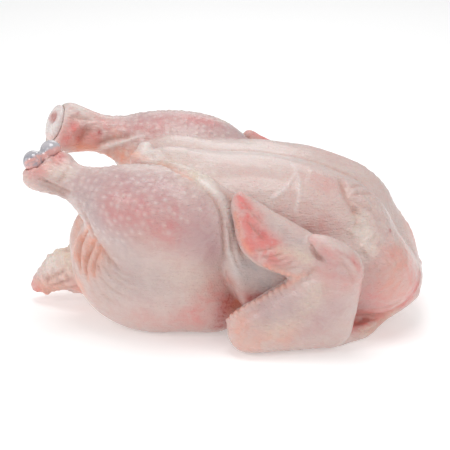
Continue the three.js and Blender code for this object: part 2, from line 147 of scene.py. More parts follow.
FLANK_CREASES = [
    (1.6, -1.5, [(-13, -64, 119), (-4, -71, 113), (2, -73, 106), (7, -76, 97), (9, -79, 84),
                 (9, -74, 70), (12, -71, 58)]),
    (3.0, 0.8, [(-6, -65, 116), (2, -69, 110), (8, -73, 101), (12, -77, 89), (12, -74, 71),
                (16, -71, 58)]),
    (1.8, -1.3, [(1, -64, 113), (9, -66, 107), (17, -72, 98), (20, -72, 83), (20, -70, 70),
                 (24, -69, 60)]),
    (1.2, -0.7, [(3, -70, 108), (10, -76, 95), (13, -76, 80), (16, -72, 64), (22, -70, 52)]),
]
TIP_CREASES = [
    (1.4, -1.6, [(-62, -19, 113), (-59, -29, 116), (-48, -38, 119), (-38, -47, 120), (-28, -60, 122),
                 (-16, -67, 118)]),
    (1.0, -0.7, [(-62, -6, 118), (-54, -24, 122), (-42, -38, 123), (-26, -57, 122), (-13, -63, 119)]),
    (0.9, -0.6, [(-58, -6, 121), (-48, -24, 123), (-36, -40, 123), (-22, -54, 121)]),
    (0.9, -0.5, [(-50, -8, 124), (-38, -25, 125), (-26, -42, 123), (-14, -53, 121)]),
    (0.9, -0.7, [(-65, -14, 116), (-66, -14, 109), (-64, -16, 103)]),
    (0.9, -0.7, [(-66, -8, 116), (-67, -8, 108), (-65, -9, 101)]),
    (1.0, -0.9, [(-61, -24, 113), (-63, -23, 106), (-61, -23, 100)]),
    (2.2, 1.2, [(-64, -3, 119), (-65, -12, 117), (-60, -23, 118), (-50, -32, 120)]),
]
BREAST_MARKS = [
    (1.3, 0.5, [(50, -22, 119), (56, -40, 115), (58, -51, 108), (56, -60, 97), (56, -63, 89)]),
    (1.2, 0.4, [(53, -36, 118), (51, -44, 115), (48, -51, 111), (42, -57, 107), (37, -59, 105)]),
    (1.1, 0.3, [(64, -25, 116), (63, -35, 115), (61, -41, 113)]),
    (1.4, 0.4, [(-31, -7, 123), (-25, -14, 124), (-20, -30, 123)]),
    (3.0, -2.0, [(83, -20, 110), (86, -31, 106), (90, -40, 101), (95, -43, 94), (101, -45, 86)]),
    (1.7, -1.0, [(88, -36, 104), (95, -20, 103), (103, -4, 99)]),
    (1.6, -1.0, [(90, -38, 102), (99, -27, 99), (107, -12, 94)]),
    (1.6, -0.9, [(91, -39, 101), (99, -37, 95), (108, -34, 87)]),
    (2.6, 1.0, [(86, -26, 108), (97, -32, 99), (105, -33, 90)]),
    (1.6, -0.8, [(93, -42, 97), (97, -47, 89), (96, -53, 83)]),
]
KEEL_MARKS = [
    (1.6, -1.0, [(-48, 3, 124), (-20, 3, 122), (10, 3, 120), (40, 3, 118), (66, 4, 113), (88, 6, 104),
                 (104, 7, 92)]),
    (1.5, 0.5, [(-40, -1, 124), (-14, -1, 122), (12, -1, 121), (40, -1, 119), (62, 0, 115),
                (84, 1, 106)]),
]
FAT_LUMPS = [
    (2.4, 1.1, [(99, -41, 93), (107, -41, 85), (106, -48, 77), (101, -56, 69)]),
    (2.0, 0.9, [(98, -46, 89), (93, -53, 84), (99, -54, 77)]),
    (2.0, 0.9, [(108, -38, 86), (111, -42, 75), (107, -51, 68)]),
    (2.2, 0.9, [(94, -57, 76), (103, -56, 69), (108, -54, 61)]),
]
NECK_MARKS = [
    (3.0, -1.2, [(92, -56, 14), (98, -51, 15), (105, -44, 16), (112, -36, 19), (121, -28, 24),
                 (133, -18, 32)]),
    (1.6, -0.9, [(100, -56, 9), (112, -46, 8), (124, -36, 9)]),
    (1.3, -0.7, [(104, -50, 22), (116, -42, 26), (127, -34, 31)]),
    (1.6, 0.8, [(132, -26, 27), (138, -17, 34), (140, -8, 42)]),
]
ANKLE_MARKS = [
    (1.4, -1.9, [(-123, -66, 116), (-113, -67, 112), (-104, -68, 107), (-96, -70, 106)]),
    (1.3, -1.5, [(-120, -66, 111), (-110, -67, 106), (-100, -67, 101)]),
    (1.1, -1.1, [(-122, -62, 106), (-113, -64, 102), (-104, -65, 98)]),
    (2.2, 1.0, [(-119, -66, 110), (-110, -66, 104), (-100, -67, 99)]),
    (1.4, -1.0, [(-101, -56, 121), (-104, -63, 116), (-108, -65, 111)]),
    (1.8, 0.9, [(-113, -60, 122), (-106, -61, 120), (-100, -61, 119)]),
]
RIGHT_LEG_MARKS = [
    (1.5, 1.2, [(-100, 36, 106), (-90, 35, 110), (-78, 33, 116), (-66, 34, 121)]),
    (2.0, -1.6, [(-102, 36, 110), (-92, 36, 115), (-82, 35, 118), (-70, 34, 122)]),
    (2.6, -1.4, [(-112, 35, 113), (-108, 35, 120), (-102, 36, 124)]),
    (2.4, 1.3, [(-120, 34, 119), (-114, 34, 124), (-108, 35, 128)]),
    (1.4, -0.9, [(-121, 37, 131), (-112, 37, 131), (-102, 38, 130)]),
    (2.0, 1.2, [(-98, 38, 103), (-88, 40, 99), (-78, 38, 100)]),
]
TAIL_MARKS = [
    (2.6, 3.4, [(-130, -9, 8), (-131, -11, 6)]),
    (1.5, -1.4, [(-112, -16, 32), (-122, -12, 26), (-132, -8, 20)]),
    (1.3, -1.1, [(-108, -18, 26), (-118, -15, 20), (-128, -11, 15)]),
    (1.4, -1.0, [(-104, -19, 20), (-113, -17, 14), (-122, -14, 10)]),
    (3.0, 1.6, [(-116, -8, 41), (-121, -4, 39), (-124, 2, 36)]),
    (2.4, -1.4, [(-112, -10, 42), (-118, 0, 42), (-113, 9, 42)]),
]
HAND_CREASES = [
    (1.3, -1.9, [(68, -89, 85), (70, -88, 79), (73, -89, 75), (79, -91, 72)]),
    (1.0, -0.9, [(35, -91, 73), (43, -91, 74), (51, -89, 76)]),
    (1.0, -0.9, [(39, -92, 71), (47, -91, 71), (55, -90, 74)]),
    (1.0, -0.9, [(41, -91, 68), (50, -91, 68), (59, -90, 72)]),
    (1.0, -0.9, [(43, -91, 65), (53, -92, 66), (63, -90, 69)]),
    (1.0, -0.8, [(30, -90, 77), (38, -90, 78), (46, -88, 80)]),
    (1.1, -0.9, [(24, -86, 98), (31, -86, 90), (38, -87, 83)]),
    (1.0, -0.7, [(22, -80, 107), (30, -82, 99), (38, -84, 92)]),
    (2.2, 1.0, [(20, -84, 100), (24, -88, 88), (30, -91, 77), (40, -92, 68), (52, -92, 62)]),
    (1.6, -0.8, [(66, -92, 57), (68, -91, 64), (75, -91, 69)]),
    (1.5, -0.7, [(88, -94, 74), (94, -92, 66), (97, -91, 56)]),
]
PAIRED_MARKS = VENT_CREASES + THIGH_CREASES + FLANK_CREASES + FAT_LUMPS + NECK_MARKS
SINGLE_MARKS = TIP_CREASES + BREAST_MARKS + KEEL_MARKS + ANKLE_MARKS + TAIL_MARKS + RIGHT_LEG_MARKS

# Small bumps (radius, rise): along the forearm's edge and the hand's torn edge, and the feather
# pits, which come in three sizes, with a strength of colour, above a height for each x.
SCALLOPED_EDGE = [(10, -86, 26), (17, -88, 33), (25, -88, 39), (32, -88, 43), (41, -88, 48),
                  (50, -88, 52), (59, -88, 57)]
TORN_EDGE = [(27, -90, 78), (34, -92, 71), (42, -92, 66), (50, -92, 62), (58, -92, 60), (65, -91, 60)]
SCALLOP, TATTER = (2.5, 1.9), (1.9, 1.8)
PIMPLES = ((1.9, 0.50, 0.7), (1.4, 0.75, 1.0), (1.1, 0.50, 0.6))
PIMPLE_LIMIT = ((-100, -78, -39, -5), (50, 66, 92, 102))
PIT_SPACING = 5.2
DRUM_GIRTH = ((0, 25, 60, 100), (12, 21, 33, 33))
RELIEF = 1.25

# Uneven skin. Each place starts and ends softly along x, y, z or out from the middle, and has
# swells of a height, a size and a seed.
SKIN_SWELLS = ((0.30, 26, 1), (0.12, 9, 2))
WING_SWELLS = ((0.25, 17, 8), (0.14, 6, 9))
UNEVEN_PLACES = {
    "tail": ((("x", -102, -112), ("z", 60, 50)), ((0.9, 8, 4), (0.55, 3.8, 5))),
    "left joint rim": ((("x", -104, -112), ("y", -30, -36), ("z", 116, 121)), ((0.7, 5, 12),)),
    "left ankle": ((("x", -90, -104), ("y", -20, -30), ("z", 90, 98)), ((0.38, 6, 13), (0.22, 3, 14))),
    "shoulders": ((("x", 84, 98), ("out", 22, 34), ("z", 48, 62)), ((0.6, 7.5, 6), (0.22, 4, 7))),
}
THIGH_REAR = (("x", -52, -66), ("out", 52, 66), ("z", 70, 56), ("z", 12, 26))
SWIRL_MIDDLE, SWIRL_PITCH, SWIRL_HEIGHT = (-50, 70), 2.1, 0.30
FOREARM = (("z", 62, 50), ("x", 96, 82))
FOREARM_ROWS, ROW_PITCH, ROW_HEIGHT = (0.62, 0.78), 1.45, 0.24

# Tints: strength, reach and the points that they lie along. The skin's and the wing's are given
# for the left side and mirrored.
SKIN_TINTS = {
    "mauve": [
        (0.65, 26, [(-70, -78, 100), (-46, -86, 100), (-30, -90, 94), (-12, -86, 90)]),
        (0.40, 11, [(-92, -66, 112), (-72, -70, 119), (-52, -76, 121), (-32, -78, 119)]),
        (0.30, 12, [(-32, -93, 90), (-9, -89, 79), (3, -80, 73)]),
        (0.28, 8, [(1, -84, 81), (2, -76, 65)]),
        (0.45, 9, [(107, -52, 43), (110, -51, 53), (104, -49, 30)]),
    ],
    "rose": [
        (0.42, 17, [(-64, -86, 98), (-48, -89, 98), (-28, -92, 93)]),
        (0.35, 11, [(127, -29, 54), (124, -36, 47), (134, -23, 45), (117, -41, 58)]),
        # Painted shade: reddish darkening low on the knee, down into the gap by the forearm's elbow.
        (0.45, 10, [(5, -67, 43), (-2, -70, 33), (-12, -71, 22), (8, -65, 28)]),
        (0.90, 6, [(92, -56, 14), (98, -51, 14), (105, -44, 15), (112, -36, 19), (121, -28, 24),
                   (133, -18, 32)]),
        (0.55, 5, [(-127, -60, 114), (-121, -63, 119), (-114, -60, 122)]),
        (0.50, 6, [(27, -67, 35), (20, -60, 29)]),
        (0.45, 16, [(118, -40, 34), (128, -30, 36), (108, -48, 36)]),
        (0.35, 6, [(96, -52, 8), (106, -44, 8), (118, -30, 12)]),
        (0.55, 6, [(-111, -19, 22), (-107, -18, 17), (-104, -15, 13)]),
        (0.75, 6, [(-142, -5, 15), (-139, -7, 12)]),
        (0.22, 12, [(77, -38, 109), (67, -34, 115)]),
        (0.25, 10, [(50, -72, 93), (62, -66, 88), (76, -60, 86)]),
        (0.50, 6, [(-108, -51, 128), (-112, -56, 124)]),
        (0.18, 14, [(-43, -73, 17), (-30, -69, 14), (-13, -68, 15)]),
    ],
    "ember": [
        (0.60, 10, [(-96, -59, 62), (-85, -69, 57), (-92, -61, 70), (-80, -71, 65), (-102, -47, 65)]),
        (0.80, 1.8, [(-87, -69, 82), (-94, -58, 69), (-96, -61, 55), (-94, -62, 46)]),
        (0.80, 1.7, [(-81, -72, 76), (-87, -66, 63), (-90, -66, 51), (-88, -67, 43)]),
        (0.60, 1.6, [(-77, -74, 71), (-82, -70, 59), (-83, -71, 48)]),
        (0.60, 8, [(-103, -15, 12), (-96, -55, 34)]),
        # Painted shade: orange-red darkening in the gap between the knee and the forearm's elbow.
        (0.60, 8, [(14, -61, 25), (16, -59, 28)]),
        (0.55, 2.2, [(10, -65, 46)]),
        (0.50, 2.6, [(8, -64, 30)]),
        (0.40, 7, [(-98, -34, 76), (-92, -40, 90)]),
        (0.55, 9, [(-120, -16, 17), (-130, -10, 16), (-112, -17, 30)]),
        (0.30, 12, [(122, -36, 40), (112, -46, 50), (130, -24, 56)]),
    ],
    "cream": [
        (0.30, 5, [(-113, -61, 121), (-108, -62, 119), (-102, -61, 120)]),
        (0.50, 5, [(-13, -62, 119), (-5, -67, 115)]),
        (0.30, 6, [(99, -45, 87), (105, -49, 74), (98, -50, 82), (106, -51, 68)]),
        (0.15, 17, [(-36, -91, 79), (-24, -85, 63), (-11, -77, 50)]),
        (0.65, 9, [(-124, -6, 36), (-116, -5, 41), (-112, -12, 36)]),
        (0.40, 5, [(108, -56, 8), (118, -42, 8), (126, -32, 10)]),
    ],
    "pale": [
        (0.45, 5, [(-112, -60, 122), (-106, -61, 120), (-100, -61, 119)]),
        (0.35, 4, [(100, -44, 88), (106, -48, 76), (99, -52, 80), (107, -52, 69)]),
        (0.50, 13, [(-124, -10, 30), (-114, -16, 28)]),
        (0.35, 13, [(-34, -15, 126), (-13, -18, 125), (2, -15, 124), (33, -10, 121)]),
        # Paler skin along the flank fold's crest, with a painted highlight on the ridge.
        (0.70, 5, [(-6, -65, 116), (2, -69, 110), (8, -73, 101), (12, -77, 89), (12, -74, 71),
                   (18, -72, 56)]),
        (0.80, 1.1, [(102, -47, 16)]),
        (0.80, 1.1, [(106, -45, 17)]),
        (0.80, 1.1, [(111, -43, 18)]),
        (0.70, 1.0, [(116, -40, 18)]),
        (0.70, 1.0, [(121, -37, 20)]),
    ],
    "lead": [
        (0.70, 10, [(29, -67, 55), (38, -67, 50), (26, -68, 59)]),
        (0.45, 15, [(-84, -76, 98), (-76, -80, 84), (-66, -84, 78)]),
        (0.30, 16, [(-50, -84, 60), (-40, -84, 45), (-62, -80, 48)]),
        (0.40, 5, [(-115, -65, 108), (-106, -65, 104)]),
    ],
    # Dark red stains, and, in the last stroke, painted shade in the gap between the thigh and the elbow.
    "blood_and_painted_shade": [
        (0.55, 2.4, [(26, -68, 36), (32, -66, 39), (41, -66, 44), (54, -72, 55)]),
        (0.40, 2.6, [(94, -54, 13), (100, -49, 13), (107, -42, 14), (114, -34, 19)]),
        (0.30, 2.6, [(131, -27, 26), (137, -19, 34)]),
        (0.70, 1.6, [(-108, -52, 127)]),
        (0.75, 1.5, [(-128, -56, 117), (-124, -60, 117)]),
        (0.55, 1.3, [(-117, -57, 122)]),
        (0.40, 8, [(-90, -4, 74), (-86, -12, 66)]),
        # Painted shade: dark red put into the deep gap low between the thigh and the forearm's elbow.
        (0.60, 6.5, [(10, -63, 31), (8, -65, 24), (6, -64, 16), (7, -60, 11), (3, -62, 11)]),
    ],
}
BREAST_TINTS = {
    "rose": [
        (0.45, 5, [(-66, -7, 113), (-66, -16, 112), (-60, -27, 114)]),
    ],
    "ember": [
        (0.45, 5, [(-64, -8, 110), (-64, -17, 111), (-59, -28, 113)]),
        (0.70, 4, [(-64, 2, 114), (-62, -9, 116), (-59, -19, 116), (-52, -27, 118)]),
        (0.65, 1.7, [(-62, -19, 111), (-59, -29, 114), (-48, -38, 118), (-38, -47, 119), (-28, -60, 121),
                     (-16, -67, 117)]),
        (0.35, 1.2, [(-62, -6, 118), (-54, -24, 121), (-42, -38, 122), (-26, -57, 121), (-13, -63, 118)]),
    ],
    "pale": [
        (0.45, 1.4, [(50, -22, 119), (56, -40, 115), (58, -51, 108), (56, -60, 97)]),
        (0.45, 1.3, [(53, -36, 118), (51, -44, 115), (48, -51, 111), (42, -57, 107), (37, -59, 105)]),
        (0.35, 1.2, [(64, -25, 116), (63, -35, 115), (61, -41, 113)]),
        (0.35, 1.8, [(-20, -8, 123), (10, -8, 121), (40, -8, 119), (66, -9, 114), (84, -12, 108)]),
        (0.80, 6, [(-57, -4, 124), (-54, -15, 125), (-48, -24, 125)]),
    ],
    "cream": [
        (0.35, 11, [(-34, -33, 124), (-18, -47, 123), (-6, -60, 118)]),
    ],
    "blood_and_painted_shade": [
        (0.95, 1.3, [(113.5, -30, 72)]),
    ],
}
RIGHT_LEG_TINTS = {
    "rose": [
        (0.85, 8, [(-123, 32, 116), (-117, 34, 122), (-110, 34, 117), (-101, 35, 115)]),
        (0.35, 9, [(-92, 42, 127), (-79, 39, 125), (-64, 37, 126), (-39, 46, 131), (-17, 49, 129)]),
    ],
    "mauve": [
        (0.60, 16, [(-70, 45, 128), (-46, 46, 132), (-26, 46, 130), (-8, 50, 122), (6, 54, 112)]),
    ],
    "ember": [
        (0.75, 8, [(-112, 37, 108), (-103, 38, 107), (-93, 41, 102), (-82, 36, 103), (-72, 30, 104)]),
        (0.60, 1.8, [(-86, 36, 118)]),
        (0.60, 1.8, [(-83, 37, 120)]),
        (0.55, 1.6, [(-87, 38, 123)]),
    ],
    "blood_and_painted_shade": [
        (0.80, 1.4, [(-97, 36, 120), (-98, 37, 122)]),
        (0.55, 1.9, [(-114, 39, 134)]),
        (0.60, 1.5, [(-119, 40, 138)]),
        (0.35, 4, [(-112, 34, 115), (-106, 35, 120)]),
    ],
    "pale": [
        (0.70, 1.6, [(-96, 37, 109), (-84, 35, 113), (-74, 34, 118), (-66, 34, 121)]),
        (0.60, 5, [(-128, 38, 112), (-120, 40, 137), (-111, 42, 136)]),
    ],
}
WING_TINTS = {
    "rose": [
        (0.95, 6, [(30, -85, 93), (37, -86, 87), (43, -87, 83)]),
        (0.80, 4, [(25, -89, 83), (28, -90, 80)]),
        (0.45, 9, [(24, -86, 96), (32, -90, 82), (44, -91, 74)]),
        (0.85, 5, [(19, -77, 110), (23, -81, 105), (26, -83, 100), (30, -84, 96)]),
        (0.35, 5, [(73, -90, 86), (80, -92, 80), (85, -93, 77)]),
        (0.45, 3, [(68, -87, 88), (70, -89, 86)]),
        (0.45, 4, [(98, -88, 73), (103, -86, 62), (102, -80, 48)]),
        (0.25, 10, [(80, -93, 67), (89, -95, 57), (95, -93, 60)]),
        (0.30, 8, [(40, -90, 74), (52, -90, 74)]),
    ],
    "ember": [
        (0.45, 2.2, [(17, -82, 99), (21, -87, 87), (28, -91, 76)]),
        (0.45, 2.0, [(38, -92, 68), (47, -91, 64), (58, -91, 61), (64, -90, 62)]),
        (0.35, 10, [(25, -95, 27), (22, -97, 19), (29, -98, 12), (36, -98, 20), (52, -94, 19)]),
        (0.35, 2.4, [(12, -84, 26), (26, -88, 38), (44, -88, 48), (60, -90, 58)]),
    ],
    "mauve": [
        (0.30, 8, [(76, -92, 74), (88, -94, 66)]),
        (0.45, 15, [(40, -94, 34), (56, -94, 38), (68, -94, 30), (82, -92, 40)]),
    ],
    "cream": [
        (0.45, 4, [(48, -90, 78), (60, -89, 76), (66, -89, 72)]),
        (0.30, 8, [(74, -94, 50), (60, -96, 30), (44, -97, 24)]),
    ],
    "pale": [
        (0.35, 4, [(70, -88, 88), (78, -90, 86), (86, -90, 80)]),
    ],
    "lead": [
        (0.35, 6, [(41, -83, 93), (47, -84, 89), (54, -86, 84), (60, -86, 82)]),
        (0.25, 10, [(52, -97, 38), (42, -98, 29)]),
    ],
    "blood_and_painted_shade": [
        (0.30, 2.2, [(31, -85, 92), (36, -86, 87)]),
        (0.25, 1.6, [(86, -92, 80), (92, -90, 76), (98, -88, 70)]),
    ],
}
RIGHT_WING_TINTS = {
    "rose": [
        (0.80, 6, [(11, -74, 114), (22, -76, 110), (34, -78, 104)]),
    ],
}
TINTS = ("rose", "mauve", "ember", "cream", "pale", "lead", "blood_and_painted_shade", "pimple", "crease")


# Blending of distances, below zero inside.
def melt(a, b, width):
    share = np.maximum(width - np.abs(a - b), 0) / width
    return np.minimum(a, b) - share * share * width / 4


def hollow(a, b, width):
    return -melt(-a, b, width)


def mirrored(values, side):
    """A point, row or turned form for one side; forms are given for the right."""
    if isinstance(values[0], tuple):
        centre, radii, turn = values
        return mirrored(centre, side), radii, (turn[0], turn[1], turn[2] * side)
    return (values[0], values[1] * side) + tuple(values[2:])


def rows_on(rows, side):
    return [mirrored(row, side) for row in rows]


def rotation(turn):
    x, y, z = (math.radians(angle) for angle in turn)
    turned = Matrix.Rotation(z, 3, "Z") @ Matrix.Rotation(y, 3, "Y") @ Matrix.Rotation(x, 3, "X")
    return np.array(turned, np.float32)


def egg(points, form):
    centre, radii, turn = form
    local = (points - np.array(centre, np.float32)) @ rotation(turn) / np.array(radii, np.float32)
    size = np.sqrt((local * local).sum(1)) + 1e-9
    local = local / np.array(radii, np.float32)
    slope = np.sqrt((local * local).sum(1)) + 1e-9
    return size * (size - 1) / slope


def smooth_line(rows, steps=5):
    """Points of a smooth curve through the rows."""
    rows = np.array(rows, float)
    knots = np.vstack([2 * rows[0] - rows[1], rows, 2 * rows[-1] - rows[-2]])
    line = []
    for i in range(1, len(knots) - 2):
        a, b, c, d = knots[i - 1:i + 3]
        for t in np.arange(steps) / steps:
            line.append(0.5 * (2 * b + (c - a) * t + (2 * a - 5 * b + 4 * c - d) * t * t
                               + (3 * b - a - 3 * c + d) * t ** 3))
    line.append(rows[-1])
    return np.array(line, np.float32)


def to_rod(points, start, end):
    """Distance from a rod's middle line, and how far along it each point lies."""
    way = (end - start)[:3]
    along = np.clip((points - start[:3]) @ way / (way @ way), 0, 1)
    off = points - start[:3] - along[:, None] * way
    return np.sqrt((off * off).sum(1)), along


def limb(points, rows):
    line = smooth_line(rows)
    best = np.full(len(points), FAR, np.float32)
    for start, end in zip(line[:-1], line[1:]):
        away, along = to_rod(points, start, end)
        best = np.minimum(best, away - start[3] - along * (end[3] - start[3]))
    return best


def plate(points, rows):
    """Thick triangle whose thickness changes evenly between its three rows."""
    a, b, c = (np.array(row, np.float32) for row in rows)
    ab, ac, ap = (b - a)[:3], (c - a)[:3], points - a[:3]
    bp, cp = points - b[:3], points - c[:3]
    d1, d2, d3, d4, d5, d6 = ap @ ab, ap @ ac, bp @ ab, bp @ ac, cp @ ab, cp @ ac
    inner = (d3 * d6 - d5 * d4, d5 * d2 - d1 * d6, d1 * d4 - d3 * d2)
    total = sum(inner) + 1e-12
    share_b, share_c = inner[1] / total, inner[2] / total
    off = ap - share_b[:, None] * ab - share_c[:, None] * ac
    flat = np.sqrt((off * off).sum(1)) - a[3] - share_b * (b[3] - a[3]) - share_c * (c[3] - a[3])
    rim = np.full(len(points), FAR, np.float32)
    for start, end in ((a, b), (b, c), (c, a)):
        away, along = to_rod(points, start, end)
        rim = np.minimum(rim, away - start[3] - along * (end[3] - start[3]))
    above = (inner[0] >= 0) & (inner[1] >= 0) & (inner[2] >= 0)
    return np.where(above, np.minimum(flat, rim), rim)


# The bird's own forms.
def trunk(points):
    core = melt(melt(egg(points, RIBCAGE), egg(points, CROP), CROP_MELT), egg(points, RUMP), RUMP_MELT)
    lobes = np.full(len(points), FAR, np.float32)
    for side in SIDES:
        off_middle = points - np.array((0, KEEL_SHIFT, 0), np.float32)
        tip = egg(off_middle, mirrored(BREAST_TIP, side))
        lobe = melt(egg(off_middle, mirrored(BREAST, side)), tip, PART_MELT)
        shoulder = egg(points, mirrored(SHOULDER, side))
        lobes = melt(lobes, melt(lobe, shoulder, PART_MELT), KEEL_MELT)
    return melt(core, lobes, LOBE_MELT)


def leg(points, side):
    point, way = (np.array(mirrored(values, side), np.float32) for values in ANKLE_FACE[side])
    way /= np.linalg.norm(way)
    drum = limb(points, rows_on(DRUMSTICK[side], side))
    shank = melt(plate(points, rows_on(ANKLE[side], side)), drum, ANKLE_MELT)
    shank = hollow(shank, -((points - point) @ way), CUT_MELT)
    upper = melt(egg(points, mirrored(THIGH[side], side)), egg(points, mirrored(KNEE, side)), KNEE_MELT)
    return melt(shank, upper, THIGH_MELT)


def joint_end(points, side):
    if side == LEFT:
        knuckles = melt(egg(points, KNUCKLES[0]), egg(points, KNUCKLES[1]), KNUCKLE_MELT)
        return melt(knuckles, limb(points, KNUCKLE_ROOT), KNUCKLE_ROOT_MELT)
    return hollow(egg(points, JOINT_FACE), egg(points, JOINT_DISH), DISH_MELT)


def wing(points, side):
    tip_x, tip_z = WING_TIP[side]
    root, inner = HAND_ROOT
    blade_rows = [root, (tip_x - 1, 73, tip_z + 2, 3.5), inner]
    back_rows = HAND_BACK + [(tip_x - 1, 75, tip_z - 3, 5)]
    edge_rows = [(tip_x, 76, tip_z - 7, 4.6), (tip_x + 3, 81, tip_z - 20, 5.5)] + HAND_EDGE
    blade, back = (plate(points, rows_on(rows, side)) for rows in (blade_rows, back_rows))
    hand = melt(melt(blade, back, ARM_MELT), limb(points, rows_on(edge_rows, side)), ARM_MELT)
    arm = plate(points, rows_on([ELBOW, WRIST, ARMPIT], side))
    return melt(melt(arm, hand, ARM_MELT), limb(points, rows_on(THUMB, side)), THUMB_MELT)


def body(points):
    """Everything but the wings and the joint ends, with the open vent."""
    tail = hollow(limb(points, TAIL), egg(points, TAIL_HOLLOW), TAIL_MELT)
    form = melt(trunk(points), tail, TAIL_ROOT_MELT)
    for side in SIDES:
        form = melt(form, limb(points, rows_on(VENT_FOLD, side)), VENT_FOLD_MELT)
        form = melt(form, leg(points, side), LEG_MELT)
    form = hollow(form, egg(points, VENT), VENT_MELT)
    for side in SIDES:
        lip = limb(points, rows_on(NECK_LIP, side))
        form = melt(form, melt(plate(points, rows_on(NECK_SKIN, side)), lip, LIP_MELT), NECK_MELT)
        fold = limb(points, rows_on(FLANK_FOLD, side))
        form = melt(form, melt(fold, egg(points, mirrored(FLANK, side)), FLANK_MELT), FOLD_MELT)
        form = melt(form, plate(points, rows_on(WING_WEB, side)), WEB_MELT)
    for side in SIDES:
        form = np.maximum(form, HOCK_GAP - joint_end(points, side))
    return form


# From distances to a mesh.
def near_blocks(rough, reach):
    """Which blocks have a corner within reach of the surface."""
    count = [n - 1 for n in rough.shape]
    near = np.zeros(count, bool)
    for x, y, z in np.ndindex(2, 2, 2):
        near |= np.abs(rough[x:x + count[0], y:y + count[1], z:z + count[2]]) < reach
    return near


def grid_distances(field, lowest, highest, step):
    """Distances on a fine grid, worked out only near the surface."""
    count = [math.ceil((b - a) / step / BLOCK) for a, b in zip(lowest, highest)]
    axes = [np.float32(a) + np.float32(step * BLOCK) * np.arange(n + 1, dtype=np.float32)
            for a, n in zip(lowest, count)]
    coarse = np.stack(np.meshgrid(*axes, indexing="ij"), -1).reshape(-1, 3)
    rough = field(coarse).reshape([n + 1 for n in count])
    near = near_blocks(rough, step * BLOCK * 1.15)
    fine, wanted = (values.repeat(BLOCK, 0).repeat(BLOCK, 1).repeat(BLOCK, 2)
                    for values in (rough[:-1, :-1, :-1], near))
    place = np.argwhere(wanted)
    values = np.empty(len(place), np.float32)
    for start in range(0, len(place), BATCH):
        part = place[start:start + BATCH]
        values[start:start + BATCH] = field(part.astype(np.float32) * step + np.array(lowest, np.float32))
    fine[wanted] = values
    return fine


def cell_points(values, cells):
    """One point in each cell: the middle of where the surface cuts the cell's edges."""
    total = np.zeros((len(cells), 3))
    crossings = np.zeros(len(cells))
    for axis in range(3):
        across, along = [other for other in range(3) if other != axis]
        for u, v in np.ndindex(2, 2):
            start = cells.copy()
            start[:, across] += u
            start[:, along] += v
            end = start.copy()
            end[:, axis] += 1
            a, b = values[tuple(start.T)], values[tuple(end.T)]
            cut = (a < 0) != (b < 0)
            point = start.astype(float)
            point[:, axis] += np.where(cut, a / np.where(cut, a - b, 1), 0)
            total += point * cut[:, None]
            crossings += cut
    return total / crossings[:, None]


def net_faces(inside, number):
    """A four-sided face round each grid edge that the surface cuts, turned outward."""
    faces = []
    for axis in range(3):
        across, along = (axis + 1) % 3, (axis + 2) % 3
        near, far = [slice(None)] * 3, [slice(None)] * 3
        near[axis], far[axis] = slice(0, -1), slice(1, None)
        edge = np.argwhere(inside[tuple(near)] != inside[tuple(far)])
        edge = edge[(edge[:, across] > 0) & (edge[:, along] > 0)]
        step_u, step_v = np.eye(3, dtype=int)[across], np.eye(3, dtype=int)[along]
        corners = (edge - step_u - step_v, edge - step_v, edge, edge - step_u)
        face = np.stack([number[tuple(corner.T)] for corner in corners], 1)
        outward = inside[tuple(near)][tuple(edge.T)]
        face[~outward] = face[~outward][:, ::-1]
        faces.append(face)
    faces = np.concatenate(faces)
    return faces[(faces >= 0).all(1)]


def lay_net(field, lowest, highest, step):
    values = grid_distances(field, lowest, highest, step)
    inside = values < 0
    full = np.zeros([n - 1 for n in inside.shape], np.int8)
    for x, y, z in np.ndindex(2, 2, 2):
        full += inside[x:inside.shape[0] - 1 + x, y:inside.shape[1] - 1 + y, z:inside.shape[2] - 1 + z]
    cells = np.argwhere((full > 0) & (full < 8))
    number = np.full(full.shape, -1, np.int64)
    number[tuple(cells.T)] = np.arange(len(cells))
    points = np.array(lowest) + step * cell_points(values, cells)
    return points.astype(np.float32), net_faces(inside, number)


def slope_of(field, points):
    here = field(points)
    slope = np.empty_like(points)
    for axis in range(3):
        moved = points.copy()
        moved[:, axis] += NUDGE
        slope[:, axis] = (field(moved) - here) / NUDGE
    return here, slope


def neighbour_mean(points, faces):
    """The middle of each point's neighbours along the faces' sides."""
    total = np.zeros_like(points)
    count = np.zeros(len(points), np.float32)
    for n in range(4):
        a, b = faces[:, n], faces[:, (n + 1) % 4]
        for one, other in ((a, b), (b, a)):
            count += np.bincount(one, minlength=len(points))
            for axis in range(3):
                total[:, axis] += np.bincount(one, points[other, axis], len(points))
    return total / count[:, None]


def settle(points, faces, field):
    """Evens out the net and sets it on the surface; gives the outward directions too."""
    normal = slope_of(field, points)[1]
    normal /= np.linalg.norm(normal, axis=1)[:, None] + 1e-9
    for _ in range(2):
        slide = neighbour_mean(points, faces) - points
        points = points + 0.6 * (slide - normal * (slide * normal).sum(1)[:, None])
    height, slope = slope_of(field, points)
    steep = (slope * slope).sum(1) + 1e-6
    points = points - slope * np.clip(height / steep, -1, 1)[:, None]
    normal = slope / np.sqrt(steep)[:, None]
    return points, normal


def skin_form(field, lowest, highest, step):
    points, faces = lay_net(field, [v - 3 * step for v in lowest], [v + 3 * step for v in highest], step)
    points, normal = settle(points, faces, field)
    return points, faces, normal


# Relief and tints along named lines.
def seated(points, field):
    """Moves points onto the surface."""
    for _ in range(4):
        height, slope = slope_of(field, points)
        points = points - slope * (height / ((slope * slope).sum(1) + 1e-6))[:, None]
    return points


